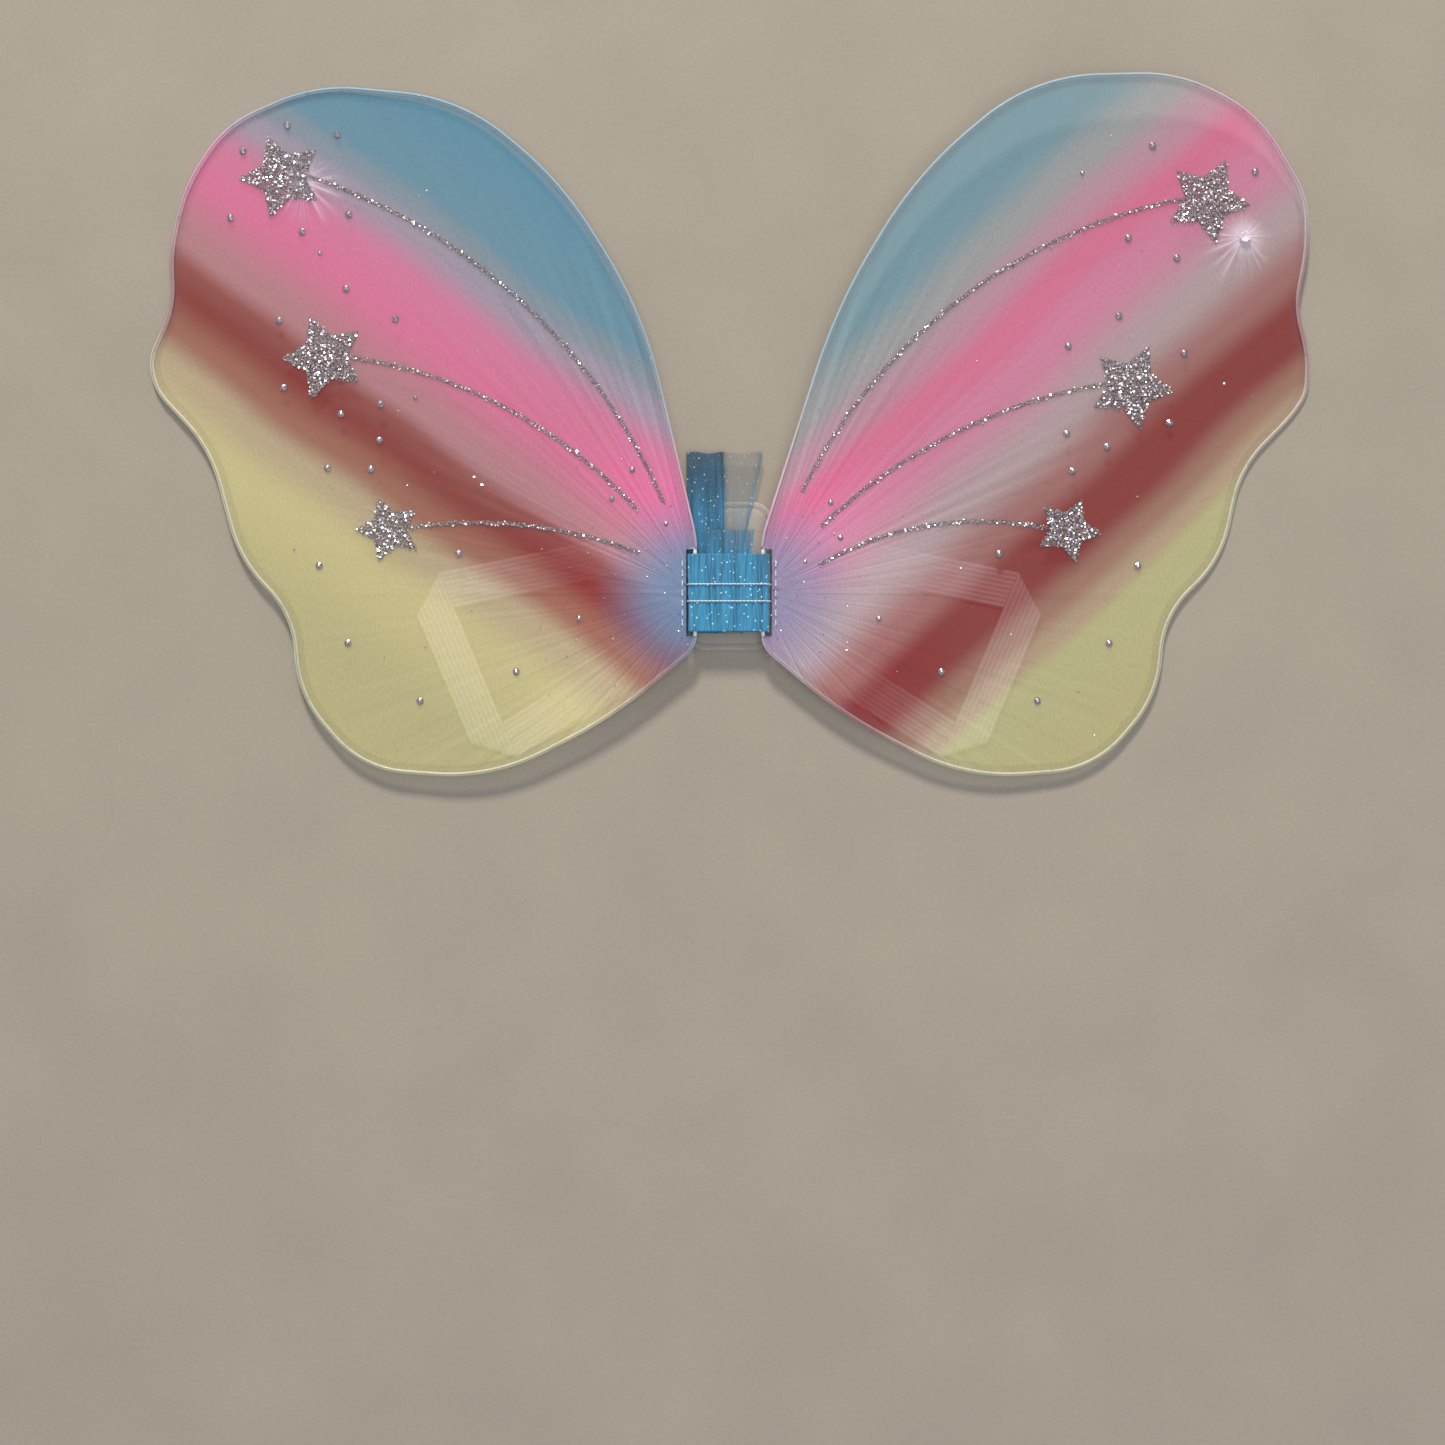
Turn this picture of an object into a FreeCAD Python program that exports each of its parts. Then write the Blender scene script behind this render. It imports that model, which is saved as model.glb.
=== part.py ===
"""Fairy wings for a child: two sprung wire loops under dyed nylon, hinged at a wrapped centre.

Millimetres. +X is the wearer's left-to-right across the span, +Y is up the wings, +Z points away
from the wearer's back, towards the decorated face. The origin is the middle of the back pad's
face, which lies on z = 0. A wing is modelled flat in its own frame, whose Y axis is the wire's
straight root, and its Placement sets it on the root with the slight droop it has when laid down.
"""
import FreeCAD, Part
import Sketcher
import math
import os

Vector = FreeCAD.Vector
Z_AXIS = Vector(0, 0, 1)
Y_AXIS = Vector(0, 1, 0)

doc = FreeCAD.newDocument("fairy_wings")

# ---- driving dimensions -------------------------------------------------------------------

SIZES = (
    ("wing_reach", 240.5, "centre line to a wing's outermost edge"),
    ("wing_rise", 205.0, "root line to the top of a wing"),
    ("wing_drop", 80.0, "root line to the bottom of a wing"),
    ("left_lift", -3.0, "bow of the left wing at its top, towards the floor"),
    ("right_lift", 9.0, "bow of the right wing at its top, away from the floor"),
    ("root_offset", 14.0, "centre line to the wire's straight root"),
    ("root_middle", -7.5, "middle of the straight root along Y"),
    ("root_bend", 5.5, "length taken by the bend at each end of the root"),
    ("wire_diameter", 1.6, "spring wire"),
    ("crimp_length", 7.0, "crimp that joins a loop's ends"),
    ("crimp_wall", 0.9, "crimp's wall"),
    ("crimp_clearance", 0.03, "crimp's bore over the wire, all round"),
    ("sleeve_length", 11.0, "each sleeve the root turns in"),
    ("sleeve_wall", 1.1, "sleeve's wall"),
    ("hinge_clearance", 0.05, "wire to sleeve, all round"),
    ("sleeve_spacing", 0.5, "sleeve to crimp, end to end"),
    ("cover_thickness", 0.8, "nylon cover, both layers as one plain sheet"),
    ("cover_gap", 0.3, "cover to wire, and cover to wrap"),
    ("star_radius", 18.0, "glitter star, centre to tip"),
    ("hidden_star_radius", 14.0, "the lowest star, centre to tip"),
    ("glitter_thickness", 0.3, "glitter on glue"),
    ("trail_width", 1.5, "glitter trail"),
    ("gem_diameter", 3.2, "rhinestone"),
    ("gem_height", 1.3, "rhinestone, base to table"),
    ("knot_radius", 2.2, "gathered toe of the cover, tied off"),
    ("knot_neck", 1.2, "radius of the tied neck"),
    ("thread_diameter", 0.5, "sewing thread"),
    ("stitch_length", 2.4, "one gathering stitch"),
    ("wrap_wall", 0.8, "centre wrap's fabric"),
    ("wrap_clearance", 0.2, "wrap to sleeve"),
    ("wrap_margin", 1.0, "wrap past the end of a sleeve"),
    ("ruffle_length", 10.0, "ruffle that stands above the wrap"),
    ("ruffle_clearance", 2.5, "ruffle to the wire on each side"),
    ("stiffener_thickness", 2.4, "card between the sleeves"),
    ("pad_width", 37.0, "back pad across"),
    ("pad_length", 62.0, "back pad along Y"),
    ("pad_thickness", 3.0, "back pad"),
    ("pad_corner", 9.0, "back pad's corner radius"),
    ("tail_width", 16.0, "loose end of the wrap's fabric"),
    ("tail_thickness", 1.8, "loose end, folded double"),
    ("tail_centre", -10.0, "loose end's middle along X"),
    ("tail_top", 51.0, "loose end's top along Y"),
    ("tail_bottom", -24.0, "loose end's caught edge along Y"),
    ("strap_width", 16.0, "elastic strap"),
    ("strap_thickness", 2.0, "elastic strap"),
    ("strap_seat", 40.0, "sewn side of a strap, corner to corner"),
    ("strap_spread", 98.0, "sewn side of a strap to its far corner"),
    ("strap_reach", 70.5, "sewn side of a strap to its lowest corner, across"),
    ("strap_drop", 65.0, "far corner of a strap to its lowest corner"),
    ("strap_clearance", 0.9, "pad to strap"),
    ("layer_gap", 0.12, "pad to loose end, and loose end to lashing"),
)

sheet = doc.addObject("Spreadsheet::Sheet", "dims")
for row, (alias, value, meaning) in enumerate(SIZES, start=1):
    sheet.set("A%d" % row, meaning)
    sheet.set("B%d" % row, str(value))
    sheet.setAlias("B%d" % row, alias)
doc.recompute()


# ---- sizes that follow from them ----------------------------------------------------------

DERIVED = (
    ("wire_radius", "wire_diameter / 2"),
    ("sleeve_bore", "wire_radius + hinge_clearance"),
    ("sleeve_outer", "sleeve_bore + sleeve_wall"),
    ("wrap_inner", "sleeve_outer + wrap_clearance"),
    ("wrap_outer", "wrap_inner + wrap_wall"),
    ("sleeve_start", "crimp_length / 2 + sleeve_spacing"),
    ("sleeve_end", "sleeve_start + sleeve_length"),
    ("wrap_half", "sleeve_end + wrap_margin"),
    ("root_half", "wrap_half + sleeve_spacing"),
    ("root_height", "pad_thickness + tail_thickness + 2 * layer_gap + thread_diameter + wrap_outer"),
    ("cover_top", "cover_thickness / 2"),
    ("cover_room", "wrap_outer + thread_diameter + cover_gap"),
    ("ruffle_half", "root_offset - wire_radius - ruffle_clearance"),
    ("card_half", "root_offset - sleeve_outer - wrap_clearance"),
)

HOLDERS = {alias: "dims" for alias, _, _ in SIZES}
derived = doc.addObject("App::VarSet", "derived")


def bind(thing, **expressions):
    """Tie properties to expressions in which each name is a size's alias."""
    for name, expression in expressions.items():
        words = expression.replace("(", " ( ").replace(")", " ) ").split()
        tied = ["%s.%s" % (HOLDERS[word], word) if word in HOLDERS else word for word in words]
        thing.setExpression(name.replace("__", "."), " ".join(tied))


for alias, expression in DERIVED:
    derived.addProperty("App::PropertyFloat", alias)
    bind(derived, **{alias: expression})
    HOLDERS[alias] = "derived"
    doc.recompute()


def size(alias):
    """A size's value, for shapes that are worked out in this file."""
    return float(getattr(doc.getObject(HOLDERS[alias]), alias))


GLUE_LINE = 0.02
THREAD_SLACK = 0.02
STITCH_INSET = 1.5
GEM_TABLE = 0.55
STAR_NOTCH = 0.53

nodes = []


def node(thing, label):
    """Names a finished sub-part, an object or a shape; its label names its file."""
    if isinstance(thing, Part.Shape):
        thing = shaped(label, thing)
    thing.Label = label
    nodes.append(thing)
    return thing


def shaped(label, shape):
    """A feature whose shape is worked out here."""
    feature = doc.addObject("Part::Feature", label)
    feature.Shape = shape
    return feature


# ---- the outline of a wing ----------------------------------------------------------------
# Corners of the polygon that a loop's rounded line runs inside, outwards from the root, round
# the big upper lobe, the three scallops and the lower lobe. Both loops are bent by hand over
# one jig, so they differ by a few millimetres. They are given for a wing of this reach, rise
# and drop and are stretched to the sheet's own.

JIG_REACH, JIG_RISE, JIG_DROP = 240.5, 205.0, 80.0
LOWER_CORNERS = ((181, -16), (178, -50), (152, -80), (98, -84), (48, -58))
LEFT_CORNERS = (
    (36, 108), (70, 163), (112, 198), (172, 204), (209, 188), (226, 163), (232.5, 135),
    (231, 112), (241, 90), (238, 77), (215.5, 53), (203, 7)) + LOWER_CORNERS
RIGHT_CORNERS = (
    (45, 111), (78, 165), (125, 204), (185, 206), (218, 190), (239, 157), (240, 136),
    (235.5, 112), (241, 92), (240.5, 76), (234.5, 67), (213, 45), (205, 7)) + LOWER_CORNERS


def in_wing(x, y):
    """A point of the jig in a wing's own frame: stretched, and measured from the root."""
    across = x * size("wing_reach") / JIG_REACH
    tall = size("wing_rise") / JIG_RISE if y > 0 else size("wing_drop") / JIG_DROP
    return across - size("root_offset"), y * tall


def bow_radius(lift):
    """Radius of the upward bow that lifts a wing's top by this much."""
    return size("wing_rise") ** 2 / (2 * lift) + lift / 2


def bow(y, lift):
    """Height of a wing's middle surface at y: flat below the root line, an arc above it."""
    if y <= 0 or lift == 0:
        return 0.0
    radius = bow_radius(lift)
    return radius - math.copysign(math.sqrt(radius ** 2 - y ** 2), radius)


def seat(y, lift, radius, face=1):
    """Height at which a flat base of this radius rests on the cover at y, on either face."""
    outermost = max(face * bow(y - radius, lift), face * bow(y + radius, lift))
    return face * (outermost + size("cover_top") + GLUE_LINE)


def rounded(points, reaches):
    """Edges of straight runs joined by tangent arcs; reaches holds each corner's share."""
    edges = []
    last = points[0]
    for before, corner, after, reach in zip(points, points[1:], points[2:], reaches):
        back = (before - corner).normalize()
        on = (after - corner).normalize()
        half_turn = (math.pi - back.getAngle(on)) / 2
        start, end = corner + back * reach, corner + on * reach
        inward = (back + on).normalize()
        sagitta = reach / math.tan(half_turn) * (1 / math.cos(half_turn) - 1)
        if (start - last).Length > 0.01:
            edges.append(Part.LineSegment(last, start).toShape())
        edges.append(Part.Arc(start, corner + inward * sagitta, end).toShape())
        last = end
    edges.append(Part.LineSegment(last, points[-1]).toShape())
    return edges


def loop_edges(side, corners, lift, end_gap):
    """A loop's centre line, from inside the crimp, round the wing and back into it."""
    middle = size("root_middle")
    reach = size("root_half") + size("root_bend")
    flat = [(0, middle + end_gap), (0, middle + reach)]
    flat += [in_wing(x, y) for x, y in corners]
    flat += [(0, middle - reach), (0, middle - end_gap)]
    points = [Vector(side * x, y, bow(y, lift)) for x, y in flat]
    runs = [(b - a).Length for a, b in zip(points, points[1:])]
    reaches = [0.45 * min(pair) for pair in zip(runs, runs[1:])]
    reaches[0] = reaches[-1] = size("root_bend")
    return rounded(points, reaches)


def plan_outline(side, corners, inset):
    """A flat face inside a loop, this far from the wire's centre line."""
    line = Part.Wire(loop_edges(side, corners, 0.0, 0.0))
    return Part.Face(line).makeOffset2D(-inset)


def layer(lift, low, high):
    """A bowed sheet as wide as a wing, from low to high above its middle surface."""
    radius = bow_radius(lift)
    below, above = -size("wing_drop") * 1.2, size("wing_rise") * 1.05
    sweep = math.asin(above / radius)

    def on_arc(height, share):
        arm = radius - height
        return Vector(0, arm * math.sin(sweep * share), radius - arm * math.cos(sweep * share))

    edges = [
        Part.LineSegment(Vector(0, below, low), Vector(0, 0, low)).toShape(),
        Part.Arc(on_arc(low, 0), on_arc(low, 0.5), on_arc(low, 1)).toShape(),
        Part.LineSegment(on_arc(low, 1), on_arc(high, 1)).toShape(),
        Part.Arc(on_arc(high, 1), on_arc(high, 0.5), on_arc(high, 0)).toShape(),
        Part.LineSegment(Vector(0, 0, high), Vector(0, below, high)).toShape(),
        Part.LineSegment(Vector(0, below, high), Vector(0, below, low)).toShape()]
    reach = size("wing_reach") * 1.1
    profile = Part.Face(Part.Wire(edges)).translated(Vector(-reach, 0, 0))
    return profile.extrude(Vector(2 * reach, 0, 0))


def on_cover(faces, lift, low, high):
    """Plan faces as thin solids that follow the cover, from low to high above its middle."""
    tall = abs(lift) + 10
    sheet_layer = layer(lift, low, high)
    solids = []
    for face in faces:
        column = face.translated(Vector(0, 0, -tall)).extrude(Vector(0, 0, 2 * tall))
        solids += column.common(sheet_layer).Solids
    return Part.makeCompound(solids)


# ---- decoration: where it lies on the jig, and its plan shapes ---------------------------
# Stars as centre and turn in degrees, the last one on the lowest scallop. Trails as the two
# ends and one point between; each starts in a notch of its star. Rhinestones as centre and size
# against a full-size one. Tied toes as a place and the face they stand on: 1 for the decorated
# face, -1 for the back, where the left one is hidden behind its star.

LEFT_STARS = ((186, 166, -20), (168, 90.5, -19), (141, 19, -19))
RIGHT_STARS = ((198, 155, -24), (167, 78.5, -24), (141, 19, -24))
LEFT_TRAILS = (
    ((175.7, 166.4), (97, 123), (27, 30)), ((157.7, 90.6), (103, 74.5), (38, 27)),
    ((132.8, 19.6), (80, 20), (37, 9)))
RIGHT_TRAILS = (
    ((187.7, 155.5), (118, 129), (30, 34)), ((156.7, 79.5), (100, 62), (38, 20)),
    ((132.8, 19.6), (80, 20), (37, 4)))
LEFT_GEMS = (
    (184, 187.5, 1), (163, 183.5, 1), (202.5, 177, 1), (207.5, 149, 1), (158, 150, 1),
    (177.5, 143, 1), (170, 134, 0.6), (159, 119, 1), (138.5, 106.5, 1), (187, 106, 1),
    (185, 78, 1), (144.5, 71, 1), (161, 67, 1), (130, 73.5, 0.6), (145, 56, 1), (166.5, 44.5, 1),
    (148.5, 44, 1), (40, 43.5, 0.8), (48.5, 31.5, 0.8), (26, 21, 0.6), (170, 4, 1), (112, 9, 1),
    (158, -28, 1), (128, -52, 1), (88, -40, 1), (62, -18, 0.8))
RIGHT_GEMS = (
    (174.5, 177, 1), (217.5, 167, 1), (145.5, 165.5, 0.6), (165, 139.5, 1), (185.5, 131.5, 1),
    (161.5, 107.5, 1), (140.5, 95, 1), (189, 92.5, 1), (140, 59, 1), (157, 53.5, 1),
    (183, 63.5, 1), (142.5, 43.5, 1), (42, 30, 0.8), (46, 15.5, 0.8), (31.5, 5.5, 0.6),
    (170, 4, 1), (112, 9, 1), (158, -28, 1), (128, -52, 1), (88, -40, 1), (62, -18, 0.8))
LEFT_KNOT, RIGHT_KNOT = (177.5, 164, -1), (213.5, 140, 1)


def star_face(side, x, y, radius, turn):
    """A plump five-pointed star in plan."""
    waist = STAR_NOTCH * radius
    centre = Vector(side * x, y, 0)
    points = []
    for corner in range(10):
        arm = waist if corner % 2 else radius
        angle = math.radians(90 + side * turn + 36 * corner)
        points.append(centre + Vector(arm * math.cos(angle), arm * math.sin(angle), 0))
    return Part.Face(Part.makePolygon(points + points[:1]))


def trail_face(side, ends_and_middle):
    """A curved strip in plan through three points, trail_width wide."""
    start, middle, end = (Vector(side * x, y, 0) for x, y in map(lambda p: in_wing(*p), ends_and_middle))
    centre = Part.Arc(start, middle, end).toShape().Curve.Center
    half = size("trail_width") / 2

    def shifted(point, by):
        return point + (point - centre).normalize() * by

    edges = [
        Part.Arc(*(shifted(p, half) for p in (start, middle, end))).toShape(),
        Part.LineSegment(shifted(end, half), shifted(end, -half)).toShape(),
        Part.Arc(*(shifted(p, -half) for p in (end, middle, start))).toShape(),
        Part.LineSegment(shifted(start, -half), shifted(start, half)).toShape()]
    return Part.Face(Part.Wire(edges))


# ---- a wing -------------------------------------------------------------------------------


def place_on_root(thing, side, name):
    """Sets a piece of a wing on its root, turned so that its lowest edge meets the floor."""
    droop = math.degrees(math.asin(droop_slope(name)))
    turn = FreeCAD.Rotation(Y_AXIS, side * droop)
    thing.Placement = FreeCAD.Placement(Vector(side * size("root_offset"), 0, size("root_height")), turn)


def droop_slope(name):
    """Drop per unit of reach that lets a wing's outer edge rest on the floor."""
    lift = size(name + "_lift")
    corners = LEFT_CORNERS if name == "left" else RIGHT_CORNERS
    slopes = []
    for x, y in (in_wing(*corner) for corner in corners):
        if x > 0.8 * (size("wing_reach") - size("root_offset")):
            slopes.append((size("root_height") - size("wire_radius") + bow(y, lift)) / x)
    return min(slopes)


def make_wing(name, side, corners, stars, trails, gems, knot):
    """One wing: its loop and crimp, its cover with the tied toe, and what is stuck on it."""
    lift = size(name + "_lift")

    # spring wire, swept along the loop; its ends meet inside the crimp
    path = shaped(name + "_loop_line", Part.Wire(loop_edges(side, corners, lift, 0.5)))
    section = doc.addObject("Part::Circle", name + "_wire_section")
    bind(section, Radius="wire_radius")
    section.Placement = FreeCAD.Placement(
        Vector(0, size("root_middle") + 0.5, 0), FreeCAD.Rotation(Z_AXIS, Y_AXIS))
    wire = doc.addObject("Part::Sweep", name + "_wing_wire")
    wire.Sections = [section]
    wire.Spine = (path, ["Edge%d" % (i + 1) for i in range(len(path.Shape.Edges))])
    wire.Solid = True
    node(wire, name + "_wing_wire")

    # crimp: a short tube along the root
    crimp = tube(name + "_wire_crimp", "crimp_length", "wire_radius + crimp_clearance", "crimp_wall")
    node(crimp, name + "_wire_crimp")

    # cover: the nylon inside the loop, cut back from the wrap and the gathering thread
    room, root_low = size("cover_room"), size("root_middle") - size("root_half")
    keep_out = Part.makeBox(2 * room, 2 * size("root_half"), 200, Vector(-room, root_low, -100))
    outline = plan_outline(side, corners, size("wire_radius") + size("cover_gap"))
    sheet_solid = on_cover([outline], lift, -size("cover_top"), size("cover_top")).cut(keep_out)
    cover = node(sheet_solid.Solids[0], name + "_wing_cover")

    # tied toe: a tuft on a neck that stands on one face, and the thread round the neck
    knot_x, knot_y = in_wing(*knot[:2])
    out = Vector(0, 0, knot[2])
    foot = Vector(side * knot_x, knot_y, seat(knot_y, lift, size("knot_neck"), knot[2]))
    neck_height = size("thread_diameter") * 1.2
    neck = Part.makeCylinder(size("knot_neck"), neck_height, foot, out)
    tuft = Part.makeCone(size("knot_neck"), size("knot_radius"), size("knot_radius") * 0.5,
                         foot + out * neck_height, out)
    tied = node(neck.fuse(tuft).removeSplitter(), name + "_cover_knot")
    ring = size("knot_neck") + size("thread_diameter") / 2 + THREAD_SLACK
    thread = Part.makeTorus(ring, size("thread_diameter") / 2, foot + out * (neck_height / 2))
    binding = node(thread, name + "_knot_thread")

    # gathering stitches along the cover's root edge
    stitches = []
    pitch = size("stitch_length") * 1.7
    count = int(2 * size("wrap_half") / pitch)
    for i in range(count):
        y = size("root_middle") + (i - (count - 1) / 2) * pitch
        height = seat(y, lift, size("stitch_length") / 2) + size("thread_diameter") / 2
        start = Vector(side * (room + STITCH_INSET), y - size("stitch_length") / 2, height)
        stitch = Part.makeCylinder(size("thread_diameter") / 2, size("stitch_length"), start, Y_AXIS)
        stitches.append(stitch)
    sewn = node(Part.makeCompound(stitches), name + "_root_stitches")

    # glitter stars and trails, each a thin crust on the cover
    top = size("cover_top") + size("glitter_thickness")
    faces = []
    for i, (x, y, turn) in enumerate(stars):
        radius = size("hidden_star_radius") if i == len(stars) - 1 else size("star_radius")
        faces.append(star_face(side, *in_wing(x, y), radius, turn))
    crust = node(on_cover(faces, lift, size("cover_top"), top), name + "_glitter_stars")
    strips = [max(trail_face(side, trail).cut(Part.makeCompound(faces)).Faces, key=lambda f: f.Area)
              for trail in trails]
    streaks = node(on_cover(strips, lift, size("cover_top"), top), name + "_glitter_trails")

    # rhinestones: flat-backed frusta glued to the cover
    stones = []
    for x, y, share in gems:
        gem_x, gem_y = in_wing(x, y)
        radius, height = size("gem_diameter") / 2 * share, size("gem_height") * share
        base = Vector(side * gem_x, gem_y, seat(gem_y, lift, radius))
        stones.append(Part.makeCone(radius, radius * GEM_TABLE, height, base))
    jewels = node(Part.makeCompound(stones), name + "_rhinestones")

    for piece in (wire, crimp, cover, tied, binding, sewn, crust, streaks, jewels):
        place_on_root(piece, side, name)


def tube(label, length, bore, wall):
    """A tube along the root, centred on its middle, as the cut of two cylinders."""
    outer = doc.addObject("Part::Cylinder", label + "_outside")
    inner = doc.addObject("Part::Cylinder", label + "_bore")
    bind(outer, Radius=bore + " + " + wall, Height=length)
    bind(inner, Radius=bore, Height=length)
    for cylinder in (outer, inner):
        cylinder.Placement.Rotation = FreeCAD.Rotation(Z_AXIS, Y_AXIS)
        bind(cylinder, Placement__Base__y="root_middle - " + length + " / 2")
    shell = doc.addObject("Part::Cut", label)
    shell.Base = outer
    shell.Tool = inner
    return shell


make_wing("left", -1, LEFT_CORNERS, LEFT_STARS, LEFT_TRAILS, LEFT_GEMS, LEFT_KNOT)
make_wing("right", 1, RIGHT_CORNERS, RIGHT_STARS, RIGHT_TRAILS, RIGHT_GEMS, RIGHT_KNOT)

# ---- the centre: sleeves, stiffener, wrap, pad and tail ------------------------------------


def make_sleeves(name, side):
    """Two sleeves on one root, one each side of the crimp, as one node."""
    pair = []
    for end, sign in (("upper", "+"), ("lower", "-")):
        sleeve = tube("%s_%s_sleeve" % (name, end), "sleeve_length",
                      "sleeve_bore", "sleeve_wall")
        shift = "0 %s ( sleeve_start + sleeve_length / 2 )" % sign
        bind(sleeve, Placement__Base__x="%d * root_offset" % side, Placement__Base__y=shift,
             Placement__Base__z="root_height")
        pair.append(sleeve)
    both = doc.addObject("Part::Compound", name + "_wire_sleeves")
    both.Links = pair
    node(both, name + "_wire_sleeves")


make_sleeves("left", -1)
make_sleeves("right", 1)


def make_stiffener():
    """A card with rounded corners that keeps the two pairs of sleeves apart."""
    card = doc.addObject("Part::Box", "stiffener_card")
    bind(card, Length="2 * card_half", Width="2 * sleeve_end", Height="stiffener_thickness",
         Placement__Base__x="0 - card_half", Placement__Base__y="root_middle - sleeve_end",
         Placement__Base__z="root_height - stiffener_thickness / 2")
    doc.recompute()
    rounded_card = doc.addObject("Part::Fillet", "centre_stiffener")
    rounded_card.Base = card
    upright = [i for i, edge in enumerate(card.Shape.Edges, start=1)
               if abs(edge.Vertexes[0].Z - edge.Vertexes[1].Z) > 0.5 * size("stiffener_thickness")]
    rounded_card.Edges = [(i, 2.0, 2.0) for i in upright]
    node(rounded_card, "centre_stiffener")


make_stiffener()


def flat_oval(label, radius):
    """A solid with a flattened oval section round both roots, as long as the wrap."""
    oval = doc.addObject("Part::MultiFuse", label)
    middle = doc.addObject("Part::Box", label + "_middle")
    bind(middle, Length="2 * root_offset", Width="2 * wrap_half", Height="2 * " + radius,
         Placement__Base__x="0 - root_offset", Placement__Base__z="root_height - " + radius)
    pieces = [middle]
    for name, side in (("left", -1), ("right", 1)):
        end = doc.addObject("Part::Cylinder", "%s_%s_end" % (label, name))
        end.Placement.Rotation = FreeCAD.Rotation(Z_AXIS, Y_AXIS)
        bind(end, Radius=radius, Height="2 * wrap_half",
             Placement__Base__x="%d * root_offset" % side, Placement__Base__z="root_height")
        pieces.append(end)
    for piece in pieces:
        bind(piece, Placement__Base__y="root_middle - wrap_half")
    oval.Shapes = pieces
    return oval


def make_wrap():
    """The gathered fabric round the sleeves: a flattened tube, and a ruffle above it."""
    band = doc.addObject("Part::Cut", "wrap_band")
    band.Base = flat_oval("wrap_outside", "wrap_outer")
    band.Tool = flat_oval("wrap_hollow", "wrap_inner")
    ruffle = doc.addObject("Part::Box", "wrap_ruffle")
    bind(ruffle, Length="2 * ruffle_half", Width="ruffle_length + wrap_margin", Height="2 * wrap_wall",
         Placement__Base__x="0 - ruffle_half",
         Placement__Base__y="root_middle + wrap_half - wrap_margin",
         Placement__Base__z="root_height + wrap_inner - wrap_wall")
    wrap = doc.addObject("Part::Fuse", "centre_wrap")
    wrap.Base = band
    wrap.Tool = ruffle
    node(wrap, "centre_wrap")


make_wrap()


def make_lashing():
    """Two turns of thread that draw the wrap in, one each side of the crimps."""
    radius = size("wrap_outer") + size("thread_diameter") / 2 + THREAD_SLACK
    across, height = size("root_offset"), size("root_height")
    turns = []
    for side in (-1, 1):
        y = size("root_middle") + side * size("crimp_length") / 2
        corners = [Vector(x, y, height + z) for x, z in (
            (-across, -radius), (across, -radius), (across + radius, 0), (across, radius),
            (-across, radius), (-across - radius, 0))]
        a, b, c, d, e, f = corners
        line = Part.Wire([Part.LineSegment(a, b).toShape(), Part.Arc(b, c, d).toShape(),
                          Part.LineSegment(d, e).toShape(), Part.Arc(e, f, a).toShape()])
        section = Part.Wire(Part.makeCircle(size("thread_diameter") / 2, a, Vector(1, 0, 0)))
        turns.append(line.makePipeShell([section], True, False))
    node(Part.makeCompound(turns), "wrap_lashing")


make_lashing()


def make_pad():
    """The felt pad against the wearer's back: a sketched rounded rectangle, padded up."""
    body = doc.addObject("PartDesign::Body", "back_pad")
    sketch = body.newObject("Sketcher::SketchObject", "pad_outline")
    plane = [f for f in body.Origin.OriginFeatures if f.Role == "XY_Plane"][0]
    sketch.AttachmentSupport = [(plane, "")]
    sketch.MapMode = "FlatFace"
    wide, tall = size("pad_width") / 2, size("pad_length") / 2
    corners = [(-wide, -tall), (wide, -tall), (wide, tall), (-wide, tall)]
    for (x0, y0), (x1, y1) in zip(corners, corners[1:] + corners[:1]):
        sketch.addGeometry(Part.LineSegment(Vector(x0, y0, 0), Vector(x1, y1, 0)), False)
    for i in range(4):
        sketch.addConstraint(Sketcher.Constraint("Coincident", i, 2, (i + 1) % 4, 1))
    for i, kind in enumerate(("Horizontal", "Vertical", "Horizontal", "Vertical")):
        sketch.addConstraint(Sketcher.Constraint(kind, i))
    sketch.addConstraint(Sketcher.Constraint("Symmetric", 0, 1, 1, 2, -1, 1))
    across = sketch.addConstraint(Sketcher.Constraint("Distance", 0, 2 * wide))
    along = sketch.addConstraint(Sketcher.Constraint("Distance", 1, 2 * tall))
    sketch.setExpression("Constraints[%d]" % across, "dims.pad_width")
    sketch.setExpression("Constraints[%d]" % along, "dims.pad_length")
    felt = body.newObject("PartDesign::Pad", "pad_felt")
    felt.Profile = sketch
    bind(felt, Length="pad_thickness")
    doc.recompute()
    fillet = body.newObject("PartDesign::Fillet", "pad_corners")
    upright = ["Edge%d" % i for i, edge in enumerate(felt.Shape.Edges, start=1)
               if abs(edge.Vertexes[0].Z - edge.Vertexes[1].Z) > 0.5 * size("pad_thickness")]
    fillet.Base = (felt, upright)
    bind(fillet, Radius="pad_corner")
    node(body, "back_pad")


make_pad()


def make_tail():
    """The wrap's loose end, caught between pad and wrap; it stands above the wrap."""
    strip = doc.addObject("Part::Box", "tail_strip")
    bind(strip, Length="tail_width", Width="tail_top - tail_bottom", Height="tail_thickness",
         Placement__Base__x="tail_centre - tail_width / 2", Placement__Base__y="tail_bottom",
         Placement__Base__z="pad_thickness + layer_gap")
    doc.recompute()
    tail = doc.addObject("Part::Fillet", "wrap_tail")
    tail.Base = strip
    ends = [i for i, edge in enumerate(strip.Shape.Edges, start=1)
            if min(v.Y for v in edge.Vertexes) > size("tail_top") - 0.01
            and abs(edge.Vertexes[0].X - edge.Vertexes[1].X) > 1]
    round_over = 0.45 * size("tail_thickness")
    tail.Edges = [(i, round_over, round_over) for i in ends]
    node(tail, "wrap_tail")


make_tail()


# ---- shoulder straps ----------------------------------------------------------------------


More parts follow.
